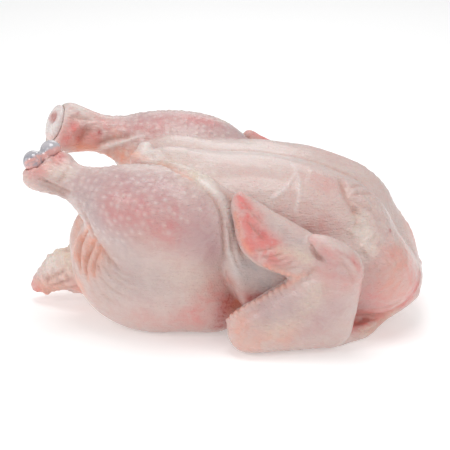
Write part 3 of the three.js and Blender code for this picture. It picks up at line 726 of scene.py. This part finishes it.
def along_line(points, line, reach):
    """Indices of the points within reach of a line, their distance and how far along they lie."""
    low, high = line.min(0) - reach, line.max(0) + reach
    near = np.nonzero(((points > low) & (points < high)).all(1))[0]
    best = np.full(len(near), FAR, np.float32)
    place = np.zeros(len(near), np.float32)
    pieces = max(len(line) - 1, 1)
    for n in range(pieces):
        start = np.append(line[n], 0)
        end = np.append(line[min(n + 1, len(line) - 1)], 0) + (1e-4, 0, 0, 0)
        away, along = to_rod(points[near], start.astype(np.float32), end.astype(np.float32))
        nearer = away < best
        best[nearer] = away[nearer]
        place[nearer] = ((n + along) / pieces)[nearer]
    return near, best, place


def lines_through(all_rows, side, field):
    """Smooth lines through the rows of the left side, mirrored to a side and set on its surface."""
    lines = []
    for rows in all_rows:
        points = np.array([(x, -y * side, z) for x, y, z in rows], np.float32)
        lines.append(smooth_line(points, 4) if len(points) > 2 else points)
    cuts = np.cumsum([len(line) for line in lines])[:-1]
    return np.split(seated(np.concatenate(lines), field), cuts)


def add_relief(points, marks, side, field, height, crease):
    """Adds the marks' heights to the height and crease masks of the points."""
    lines = lines_through([rows for width, rise, rows in marks], side, field)
    for (width, rise, rows), line in zip(marks, lines):
        near, away, place = along_line(points, line, 3 * width)
        taper = np.clip(np.minimum(place, 1 - place) * 5, 0, 1) if len(rows) > 2 else 1
        shape = np.exp(-(away / width) ** 2) * taper
        height[near] += RELIEF * rise * shape
        if rise < 0:
            crease[near] = np.maximum(crease[near], np.minimum(-rise, 1.4) / 1.4 * shape)


def add_tints(points, tints, side, field, masks):
    spots = [(name, spot) for name, group in tints.items() for spot in group]
    lines = lines_through([spot[2] for name, spot in spots], side, field)
    for (name, (strength, reach, rows)), line in zip(spots, lines):
        near, away, place = along_line(points, line, 2.2 * reach)
        masks[name][near] = 1 - (1 - masks[name][near]) * (1 - strength * np.exp(-(away / reach) ** 2))


def ripples(points, size, seed, waves=9):
    """Soft uneven swells of about the given size, from -1 to 1."""
    rng = np.random.default_rng(seed)
    total = np.zeros(len(points), np.float32)
    for _ in range(waves):
        way = rng.normal(size=3)
        way *= 2 * math.pi / size * rng.uniform(0.7, 1.4) / np.linalg.norm(way)
        total += np.sin(points @ way.astype(np.float32) + rng.uniform(0, 2 * math.pi))
    return total / math.sqrt(waves) / 1.4


def soft_step(value, low, high):
    t = np.clip((value - low) / (high - low), 0, 1)
    return t * t * (3 - 2 * t)


def beads(points, centres, radius, rise, height, mask=None, strength=1.0):
    """Small round rises at the centres."""
    low, high = centres.min(0) - 3 * radius, centres.max(0) + 3 * radius
    near = np.nonzero(((points > low) & (points < high)).all(1))[0]
    for start in range(0, len(near), 3000):
        part = near[start:start + 3000]
        gap = np.full(len(part), 1e6, np.float32)
        here = points[part]
        for block in range(0, len(centres), 256):
            way = here[:, None] - centres[None, block:block + 256]
            gap = np.minimum(gap, (way * way).sum(2).min(1))
        shape = np.exp(-gap / radius ** 2)
        height[part] += rise * shape
        if mask is not None:
            mask[part] = np.maximum(mask[part], strength * shape)


def pit_rings(side):
    """Centres in slanting rings round a drumstick, and the draws that follow theirs."""
    rng = np.random.default_rng(11 + side)
    rows = np.array(rows_on(DRUMSTICK[side], side), np.float32)
    start, end = rows[0], rows[-1]
    way = (end - start)[:3]
    length = np.linalg.norm(way)
    way /= length
    across = np.cross(way, (0, 0, 1.0))
    across /= np.linalg.norm(across)
    upward = np.cross(across, way)
    count = int(2 * math.pi * 30 / PIT_SPACING)
    centres = []
    for n in range(int(length / PIT_SPACING * 1.1)):
        along = 4 + n * PIT_SPACING * 0.9
        girth = np.interp(along, *DRUM_GIRTH)
        for m in range(count):
            angle = 2 * math.pi * (m + 0.5 * (n % 2)) / count + rng.normal(0, 0.02)
            out = across * math.cos(angle) + upward * math.sin(angle)
            centres.append(start[:3] + way * along + out * girth + rng.normal(0, 0.8, 3))
    return np.array(centres, np.float32), rng


def feather_pits(side, field):
    """Pits on the drumstick's upper part, none too near another."""
    centres, rng = pit_rings(side)
    centres = seated(centres, field)
    lowest = np.interp(centres[:, 0], *PIMPLE_LIMIT) + rng.normal(0, 4, len(centres))
    kept = []
    for centre in centres[centres[:, 2] > lowest]:
        if not kept or np.min(((np.array(kept) - centre) ** 2).sum(1)) > (PIT_SPACING * 0.62) ** 2:
            kept.append(centre)
    return np.array(kept, np.float32)


def within(points, limits):
    """A mask, 0 to 1, of the points inside the soft limits."""
    x, y, z = points.T
    values = {"x": x, "y": y, "z": z, "out": np.abs(y)}
    mask = np.ones(len(points), np.float32)
    for name, start, end in limits:
        mask = mask * soft_step(values[name], start, end)
    return mask


def swells(points, rows):
    return sum(rise * ripples(points, size, seed) for rise, size, seed in rows)


def blank_masks(points):
    return {name: np.zeros(len(points), np.float32) for name in TINTS}


def skin_relief(points, normal):
    """Raises and sinks the body's skin, and works out its masks."""
    height, masks = swells(points, SKIN_SWELLS), blank_masks(points)
    for side in SIDES:
        add_relief(points, PAIRED_MARKS, side, body, height, masks["crease"])
        add_tints(points, SKIN_TINTS, side, body, masks)
    add_relief(points, SINGLE_MARKS, LEFT, body, height, masks["crease"])
    for tints in (BREAST_TINTS, RIGHT_LEG_TINTS):
        add_tints(points, tints, LEFT, body, masks)
    swirl = np.hypot(points[:, 0] - SWIRL_MIDDLE[0], points[:, 2] - SWIRL_MIDDLE[1])
    comb = np.sin(swirl * SWIRL_PITCH + 1.4 * ripples(points, 18, 3))
    height += SWIRL_HEIGHT * comb * within(points, THIGH_REAR)
    for limits, rows in UNEVEN_PLACES.values():
        height += within(points, limits) * swells(points, rows)
    for side in SIDES:
        pits = feather_pits(side, body)
        for n, (radius, rise, strength) in enumerate(PIMPLES):
            beads(points, pits[n::len(PIMPLES)], radius, rise, height, masks["pimple"], strength)
    return points + normal * height[:, None], masks


def wing_relief(points, normal, side, field):
    height, masks = swells(points, WING_SWELLS), blank_masks(points)
    add_relief(points, HAND_CREASES, side, field, height, masks["crease"])
    add_tints(points, WING_TINTS, side, field, masks)
    if side == RIGHT:
        add_tints(points, RIGHT_WING_TINTS, side, field, masks)
    scallops, torn = lines_through([SCALLOPED_EDGE, TORN_EDGE], side, field)
    beads(points, scallops[::2], *SCALLOP, height)
    beads(points, torn[::2], *TATTER, height)
    slant = points[:, (0, 2)] @ np.array(FOREARM_ROWS, np.float32)
    row = slant * ROW_PITCH + 1.2 * ripples(points, 15, 10)
    uneven = 0.6 + 0.4 * ripples(points, 8, 11)
    height += ROW_HEIGHT * within(points, FOREARM) * np.sin(row) * uneven
    return points + normal * height[:, None], masks


# Camera and light.
PHOTO_AZIMUTH, PHOTO_ELEVATION = math.radians(7), math.radians(18)
PHOTO_DISTANCE, PHOTO_SCALE, IMAGE_WIDTH = 1.3, 0.00072, 450
PHOTO_TARGET = Vector((-MIDDLE_X, 0, 65 - REST_CUT)) / 1000
SENSOR_WIDTH, VIEW_RANGE = 36, (0.01, 20)
ROOM_LIGHT, LIT_MIDDLE = 0.52, Vector((0, 0, 0.06))
LIGHTS = (
    ("top_soft", (0.0, -0.1, 1.3), 0.7, 5.4),
    ("key_left", (-0.7, -0.8, 0.8), 0.35, 1.8),
    ("fill_right", (0.95, -0.5, 0.55), 0.6, 1.3),
    ("fill_left", (-1.1, -0.2, 0.32), 0.6, 1.3),
    ("back_rim", (-0.1, 1.1, 0.8), 0.7, 1.6),
)
FLOOR_REACH, FLOOR_DROP, FLOOR_COLOUR = 3.0, -0.0003, (0.93, 0.93, 0.93, 1)


def place_camera():
    camera_data = bpy.data.cameras.new("camera")
    camera = bpy.data.objects.new("camera", camera_data)
    bpy.context.collection.objects.link(camera)
    back = Vector((math.sin(PHOTO_AZIMUTH) * math.cos(PHOTO_ELEVATION),
                   -math.cos(PHOTO_AZIMUTH) * math.cos(PHOTO_ELEVATION), math.sin(PHOTO_ELEVATION)))
    right = Vector((math.cos(PHOTO_AZIMUTH), math.sin(PHOTO_AZIMUTH), 0))
    turn = Matrix((right, back.cross(right), back)).transposed()
    camera.matrix_world = Matrix.Translation(PHOTO_TARGET + back * PHOTO_DISTANCE) @ turn.to_4x4()
    camera_data.sensor_width = SENSOR_WIDTH
    camera_data.lens = SENSOR_WIDTH * PHOTO_DISTANCE / PHOTO_SCALE / IMAGE_WIDTH
    camera_data.clip_start, camera_data.clip_end = VIEW_RANGE
    bpy.context.scene.camera = camera


def add_light(name, place, size, power):
    light = bpy.data.lights.new(name, "AREA")
    light.shape = "DISK"
    light.size = size
    light.energy = power
    lamp = bpy.data.objects.new(name, light)
    lamp.location = place
    lamp.rotation_euler = (LIT_MIDDLE - lamp.location).to_track_quat("-Z", "Y").to_euler()
    bpy.context.collection.objects.link(lamp)


def light_studio():
    world = bpy.data.worlds.new("studio")
    bpy.context.scene.world = world
    world.use_nodes = True
    background = world.node_tree.nodes["Background"]
    background.inputs["Color"].default_value = (1, 1, 1, 1)
    background.inputs["Strength"].default_value = ROOM_LIGHT
    for name, place, size, power in LIGHTS:
        add_light(name, place, size, power)
    bpy.context.scene.view_settings.view_transform = "Standard"


def lay_floor():
    mesh = bpy.data.meshes.new("floor")
    corners = [(-FLOOR_REACH, -FLOOR_REACH, 0), (FLOOR_REACH, -FLOOR_REACH, 0),
               (FLOOR_REACH, FLOOR_REACH, 0), (-FLOOR_REACH, FLOOR_REACH, 0)]
    mesh.from_pydata(corners, [], [(0, 1, 2, 3)])
    floor = bpy.data.objects.new("floor", mesh)
    bpy.context.collection.objects.link(floor)
    floor.location.z = FLOOR_DROP
    material = bpy.data.materials.new("pale_floor")
    material.use_nodes = True
    set_values(material.node_tree.nodes["Principled BSDF"], Base_Color=FLOOR_COLOUR, Roughness=0.6,
               Emission_Color=(1, 1, 1, 1), Emission_Strength=0.26)
    mesh.materials.append(material)


# Pieces, from their points.
def to_object(name, points, faces, material, node):
    """A piece in metres, in the CAD frame, that stands for its node."""
    place = points + np.array((-MIDDLE_X, 0, -REST_CUT), np.float32)
    place[:, 2] = np.maximum(place[:, 2], 0)
    mesh = bpy.data.meshes.new(name)
    mesh.vertices.add(len(place))
    mesh.vertices.foreach_set("co", (place / 1000).ravel())
    mesh.loops.add(faces.size)
    mesh.loops.foreach_set("vertex_index", faces.ravel().astype(np.int32))
    mesh.polygons.add(len(faces))
    mesh.polygons.foreach_set("loop_start", np.arange(0, faces.size, 4, dtype=np.int32))
    mesh.polygons.foreach_set("loop_total", np.full(len(faces), 4, np.int32))
    mesh.update(calc_edges=True)
    mesh.polygons.foreach_set("use_smooth", np.ones(len(faces), bool))
    mesh.materials.append(material)
    piece = bpy.data.objects.new(name, mesh)
    bpy.context.collection.objects.link(piece)
    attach(piece, "root")
    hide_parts(node)
    return piece


def paint_masks(piece, masks):
    """Stores the masks, 0 to 1, three to a colour layer of the mesh."""
    for layer_name, names in LAYERS:
        values = np.zeros((len(piece.data.vertices), 4), np.float32)
        for n, mask_name in enumerate(names):
            values[:, n] = np.clip(masks[mask_name], 0, 1)
        layer = piece.data.color_attributes.new(layer_name, "FLOAT_COLOR", "POINT")
        layer.data.foreach_set("color", values.ravel())


# Shader nodes and the groups that the finishes share.
def set_values(node, **values):
    for key, value in values.items():
        node.inputs[key.replace("_", " ")].default_value = value


def set_input(tree, socket, value):
    """Links a socket to another, or sets its value."""
    if isinstance(value, bpy.types.NodeSocket):
        tree.links.new(value, socket)
    else:
        socket.default_value = value


def new_group(name, inputs, outputs):
    group = bpy.data.node_groups.new(name, "ShaderNodeTree")
    for label, kind, value in inputs:
        socket = group.interface.new_socket(label, in_out="INPUT", socket_type=kind)
        if value is not None:
            socket.default_value = value
    for label, kind in outputs:
        group.interface.new_socket(label, in_out="OUTPUT", socket_type=kind)
    return group, group.nodes.new("NodeGroupInput"), group.nodes.new("NodeGroupOutput")


def add_node(tree, kind, settings=None, **links):
    """A node with its settings, and its inputs set to a value or linked to a socket."""
    node = tree.nodes.new("ShaderNode" + kind)
    for key, value in (settings or {}).items():
        setattr(node, key, value)
    for key, value in links.items():
        set_input(tree, node.inputs[int(key[1:]) if key[1:].isdigit() else key.replace("_", " ")], value)
    return node


def maths(tree, operation, a, b=0.0, c=0.0):
    return add_node(tree, "Math", {"operation": operation}, i0=a, i1=b, i2=c).outputs[0]


def remap(tree, value, low, high, to_low=0.0, to_high=1.0):
    node = add_node(tree, "MapRange", {"interpolation_type": "SMOOTHSTEP"}, i0=value, i1=low, i2=high,
                    i3=to_low, i4=to_high)
    return node.outputs[0]


def mixed(tree, share, base, tint):
    node = add_node(tree, "Mix", {"data_type": "RGBA"}, i0=share, i6=base, i7=tint)
    return node.outputs[2]


def mottling_group():
    """Soft blotches of red flesh and fat seen through thin skin, and a fine net of vessels."""
    group, inside, out = new_group(
        "mottling", [("Vector", "NodeSocketVector", None), ("Size", "NodeSocketFloat", 90.0)],
        [("Blotches", "NodeSocketFloat"), ("Specks", "NodeSocketFloat"), ("Vessels", "NodeSocketFloat")])
    vector, size = inside.outputs["Vector"], inside.outputs["Size"]
    broad = add_node(group, "TexNoise", None, Vector=vector, Scale=size, Detail=4.0, Roughness=0.6,
                     Distortion=0.8)
    finer = maths(group, "MULTIPLY", size, 5.5)
    small = add_node(group, "TexNoise", None, Vector=vector, Scale=finer, Detail=3.0, Roughness=0.65)
    bent = mixed(group, 0.02, vector, broad.outputs["Color"])
    net = add_node(group, "TexVoronoi", {"feature": "DISTANCE_TO_EDGE"}, Vector=bent,
                   Scale=maths(group, "MULTIPLY", size, 1.7), Randomness=1.0)
    thin = remap(group, net.outputs["Distance"], 0.0, 0.055, 1.0, 0.0)
    patchy = remap(group, broad.outputs["Fac"], 0.45, 0.7)
    group.links.new(remap(group, broad.outputs["Fac"], 0.36, 0.66), out.inputs["Blotches"])
    group.links.new(remap(group, small.outputs["Fac"], 0.4, 0.68), out.inputs["Specks"])
    group.links.new(maths(group, "MULTIPLY", thin, patchy), out.inputs["Vessels"])
    return group


def grain_group():
    """Height of fine skin grain: tiny pits, soft wrinkles along one way and small bumps."""
    group, inside, out = new_group(
        "skin_grain", [("Vector", "NodeSocketVector", None), ("Wrinkles", "NodeSocketFloat", 0.5),
                       ("Pits", "NodeSocketFloat", 0.5)], [("Height", "NodeSocketFloat")])
    vector = inside.outputs["Vector"]
    fine = add_node(group, "TexNoise", None, Vector=vector, Scale=900.0, Detail=3.0, Roughness=0.6)
    drawn = add_node(group, "Mapping", None, Vector=vector, Rotation=(0.0, 0.35, 0.0),
                     Scale=(120.0, 300.0, 620.0))
    lines = add_node(group, "TexNoise", None, Vector=drawn.outputs[0], Scale=1.0, Detail=3.0, Roughness=0.55,
                     Distortion=0.6)
    cells = add_node(group, "TexVoronoi", None, Vector=vector, Scale=420.0, Randomness=0.9)
    bumps = remap(group, cells.outputs["Distance"], 0.0, 0.45, 1.0, 0.0)
    total = maths(group, "MULTIPLY_ADD", lines.outputs["Fac"], inside.outputs["Wrinkles"],
                  maths(group, "MULTIPLY", fine.outputs["Fac"], 0.35))
    group.links.new(maths(group, "MULTIPLY_ADD", bumps, inside.outputs["Pits"], total), out.inputs["Height"])
    return group


def patch_group():
    """Breaks up the soft edge of a tinted patch."""
    group, inside, out = new_group(
        "patch_edge", [("Mask", "NodeSocketFloat", 0.0), ("Noise", "NodeSocketFloat", 0.5),
                       ("Break", "NodeSocketFloat", 0.5)], [("Mask", "NodeSocketFloat")])
    swing = maths(group, "MULTIPLY_ADD", inside.outputs["Noise"], inside.outputs["Break"], 1.0)
    swing = maths(group, "SUBTRACT", swing, maths(group, "MULTIPLY", inside.outputs["Break"], 0.5))
    node = add_node(group, "Math", {"operation": "MULTIPLY", "use_clamp": True},
                    i0=inside.outputs["Mask"], i1=swing)
    group.links.new(node.outputs[0], out.inputs["Mask"])
    return group


# Colours of the finishes.
FLESH_PALE = (0.700, 0.540, 0.500, 1)
FLESH_WARM = (0.640, 0.410, 0.375, 1)
TINT_COLOURS = {
    "mauve": (0.500, 0.285, 0.305, 1),
    "rose": (0.780, 0.235, 0.215, 1),
    "ember": (0.860, 0.370, 0.250, 1),
    "cream": (0.790, 0.670, 0.510, 1),
    "pale": (0.840, 0.750, 0.710, 1),
    "lead": (0.500, 0.430, 0.425, 1),
    # Dark red of the stains, also used for the painted shade between the thigh and the elbow.
    "blood_and_painted_shade": (0.460, 0.055, 0.055, 1),
}
PIMPLE_COLOUR = (0.830, 0.740, 0.700, 1)
# Painted shade: the darker, warmer colour that the crease mask puts into the relief's grooves.
CREASE_SHADE_COLOUR = (0.600, 0.300, 0.230, 1)
SPECK_COLOUR = (0.820, 0.700, 0.640, 1)
KNUCKLE_DEEP = (0.280, 0.285, 0.335, 1)
KNUCKLE_GREY = (0.460, 0.440, 0.475, 1)
# Painted light: the pale grey that the knuckles' tops are mixed towards.
KNUCKLE_PAINTED_LIGHT = (0.660, 0.620, 0.640, 1)
KNUCKLE_FLESH = (0.740, 0.400, 0.370, 1)
FACE_WHITE = (0.800, 0.740, 0.720, 1)
FACE_CLOUDY = (0.720, 0.600, 0.580, 1)
FACE_FLESH = (0.740, 0.500, 0.460, 1)
DISH_COLOUR = (0.520, 0.220, 0.200, 1)
LAYERS = (("flush", ("rose", "mauve", "ember")), ("fat", ("cream", "pale", "lead")),
          ("mark", ("blood_and_painted_shade", "pimple", "crease")))


def finish(name):
    material = bpy.data.materials.new(name)
    material.use_nodes = True
    tree = material.node_tree
    vector = add_node(tree, "TexCoord").outputs["Object"]
    return material, tree, tree.nodes["Principled BSDF"], vector


def placed(tree, group, **links):
    """A shared group in a finish, with its own values."""
    return add_node(tree, "Group", {"node_tree": group}, **links)


def grained(tree, shader, groups, vector, wrinkles, pits, distance, strength):
    """Gives a finish the grain of skin as a bump."""
    grain = placed(tree, groups["skin_grain"], Vector=vector, Wrinkles=wrinkles, Pits=pits)
    bump = add_node(tree, "Bump", None, Height=grain.outputs["Height"], Distance=distance, Strength=strength)
    tree.links.new(bump.outputs[0], shader.inputs["Normal"])


def layer_masks(tree):
    masks = {}
    for layer, names in LAYERS:
        attribute = add_node(tree, "Attribute", {"attribute_name": layer})
        parts = add_node(tree, "SeparateColor", None, Color=attribute.outputs["Color"])
        for n, mask_name in enumerate(names):
            masks[mask_name] = parts.outputs[n]
    return masks


def skin_colour(tree, groups, mottling, masks):
    blotches, specks, vessels = (mottling.outputs[key] for key in ("Blotches", "Specks", "Vessels"))
    colour = mixed(tree, maths(tree, "MULTIPLY", blotches, 0.38), FLESH_PALE, FLESH_WARM)
    colour = mixed(tree, maths(tree, "MULTIPLY", specks, 0.16), colour, SPECK_COLOUR)
    colour = mixed(tree, maths(tree, "MULTIPLY", vessels, 0.22), colour, TINT_COLOURS["rose"])
    for mask_name, tint in TINT_COLOURS.items():
        noise = specks if mask_name in ("cream", "blood_and_painted_shade") else blotches
        swing = 0.3 if mask_name == "mauve" else 0.7
        broken = placed(tree, groups["patch_edge"], Mask=masks[mask_name], Noise=noise, Break=swing)
        colour = mixed(tree, broken.outputs["Mask"], colour, tint)
    # The crease mask paints shade into the grooves; the pimple mask gives the follicles their paler colour.
    for mask_name, tint in (("crease", CREASE_SHADE_COLOUR), ("pimple", PIMPLE_COLOUR)):
        colour = mixed(tree, maths(tree, "MULTIPLY", masks[mask_name], 0.5), colour, tint)
    return colour


def raw_skin(groups):
    material, tree, shader, vector = finish("raw_skin")
    mottling = placed(tree, groups["mottling"], Vector=vector, Size=85.0)
    rough = maths(tree, "MULTIPLY_ADD", mottling.outputs["Specks"], 0.14, 0.36)
    tree.links.new(skin_colour(tree, groups, mottling, layer_masks(tree)), shader.inputs["Base Color"])
    tree.links.new(rough, shader.inputs["Roughness"])
    grained(tree, shader, groups, vector, 0.9, 0.25, 0.0012, 0.9)
    set_values(shader, Subsurface_Weight=0.25, Subsurface_Radius=(1.0, 0.35, 0.22), Subsurface_Scale=0.0025,
               Specular_IOR_Level=0.5, Coat_Weight=0.45, Coat_Roughness=0.17)
    return material


def rise_over_face(tree, vector):
    """How far a place lies above the cut face of the left leg, in metres."""
    point, way = (np.array(mirrored(values, LEFT)) for values in ANKLE_FACE[LEFT])
    way = way / np.linalg.norm(way)
    reach = (point - (MIDDLE_X, 0, REST_CUT)) @ way / 1000
    along = add_node(tree, "VectorMath", {"operation": "DOT_PRODUCT"}, i0=vector, i1=tuple(way))
    return maths(tree, "SUBTRACT", along.outputs["Value"], reach)


def knuckle_gristle(groups):
    """Wet grey gristle with light painted on its top, and flesh torn up round its foot."""
    material, tree, shader, vector = finish("knuckle_gristle")
    mottling = placed(tree, groups["mottling"], Vector=vector, Size=160.0)
    blotches = mottling.outputs["Blotches"]
    height = add_node(tree, "SeparateXYZ", None, Vector=vector).outputs["Z"]
    grey = mixed(tree, blotches, KNUCKLE_DEEP, KNUCKLE_GREY)
    # Painted light: the higher a place on the knuckles, the more it is mixed towards pale grey.
    grey = mixed(tree, remap(tree, height, 0.124, 0.133, 0.0, 0.6), grey, KNUCKLE_PAINTED_LIGHT)
    low = remap(tree, rise_over_face(tree, vector), 0.0006, 0.0028, 1.0, 0.0)
    fleshy = placed(tree, groups["patch_edge"], Mask=low, Noise=blotches, Break=1.6)
    rough = maths(tree, "MULTIPLY_ADD", mottling.outputs["Specks"], 0.10, 0.12)
    tree.links.new(mixed(tree, fleshy.outputs["Mask"], grey, KNUCKLE_FLESH), shader.inputs["Base Color"])
    tree.links.new(rough, shader.inputs["Roughness"])
    grained(tree, shader, groups, vector, 0.2, 0.1, 0.0003, 0.4)
    set_values(shader, Subsurface_Weight=0.25, Subsurface_Radius=(0.5, 0.5, 0.6), Subsurface_Scale=0.003,
               Coat_Weight=1.0, Coat_Roughness=0.06)
    return material


def face_gristle(groups):
    """White cut gristle round a pink dish, with a flesh-red rim below."""
    material, tree, shader, vector = finish("face_gristle")
    mottling = placed(tree, groups["mottling"], Vector=vector, Size=220.0)
    blotches, specks = mottling.outputs["Blotches"], mottling.outputs["Specks"]
    x, y, z = JOINT_DISH[0]
    middle = ((x - MIDDLE_X) / 1000, y / 1000, (z - REST_CUT) / 1000)
    away = add_node(tree, "VectorMath", {"operation": "DISTANCE"}, i0=vector, i1=middle).outputs["Value"]
    dish = remap(tree, away, 0.0030, 0.0062, 1.0, 0.0)
    dish = placed(tree, groups["patch_edge"], Mask=dish, Noise=specks, Break=0.5)
    colour = mixed(tree, blotches, FACE_WHITE, FACE_CLOUDY)
    colour = mixed(tree, dish.outputs["Mask"], colour, DISH_COLOUR)
    height = add_node(tree, "SeparateXYZ", None, Vector=vector).outputs["Z"]
    low = remap(tree, height, 0.112, 0.121, 1.0, 0.0)
    low = placed(tree, groups["patch_edge"], Mask=low, Noise=blotches, Break=0.9)
    colour = mixed(tree, maths(tree, "MULTIPLY", low.outputs["Mask"], 0.6), colour, FACE_FLESH)
    tree.links.new(colour, shader.inputs["Base Color"])
    tree.links.new(maths(tree, "MULTIPLY_ADD", specks, 0.15, 0.22), shader.inputs["Roughness"])
    grained(tree, shader, groups, vector, 0.5, 0.3, 0.0005, 0.5)
    set_values(shader, Subsurface_Weight=0.25, Subsurface_Radius=(0.8, 0.4, 0.3), Subsurface_Scale=0.003,
               Coat_Weight=0.35, Coat_Roughness=0.15)
    return material


# The bird's pieces.
def make_skin(material):
    points, faces, normal = skin_form(body, *BODY_ROOM, SKIN_MESH)
    points, masks = skin_relief(points, normal)
    paint_masks(to_object("skin", points, faces, material, "carcass"), masks)


def make_wing(side, material):
    def field(points):
        return wing(points, side)

    points, faces, normal = skin_form(field, *WING_ROOM[side], WING_MESH)
    points, masks = wing_relief(points, normal, side, field)
    name = "wing_" + SIDE_NAMES[side]
    paint_masks(to_object(name, points, faces, material, "carcass"), masks)


def make_hock(side, material):
    def field(points):
        return joint_end(points, side)

    points, faces, normal = skin_form(field, *HOCK_ROOM[side], HOCK_MESH)
    to_object("hock_end_" + SIDE_NAMES[side], points, faces, material, "hock_" + SIDE_NAMES[side])


place_camera()
light_studio()
lay_floor()
groups = {"mottling": mottling_group(), "skin_grain": grain_group(), "patch_edge": patch_group()}
skin_finish = raw_skin(groups)
make_skin(skin_finish)
for side in SIDES:
    make_wing(side, skin_finish)
make_hock(LEFT, knuckle_gristle(groups))
make_hock(RIGHT, face_gristle(groups))
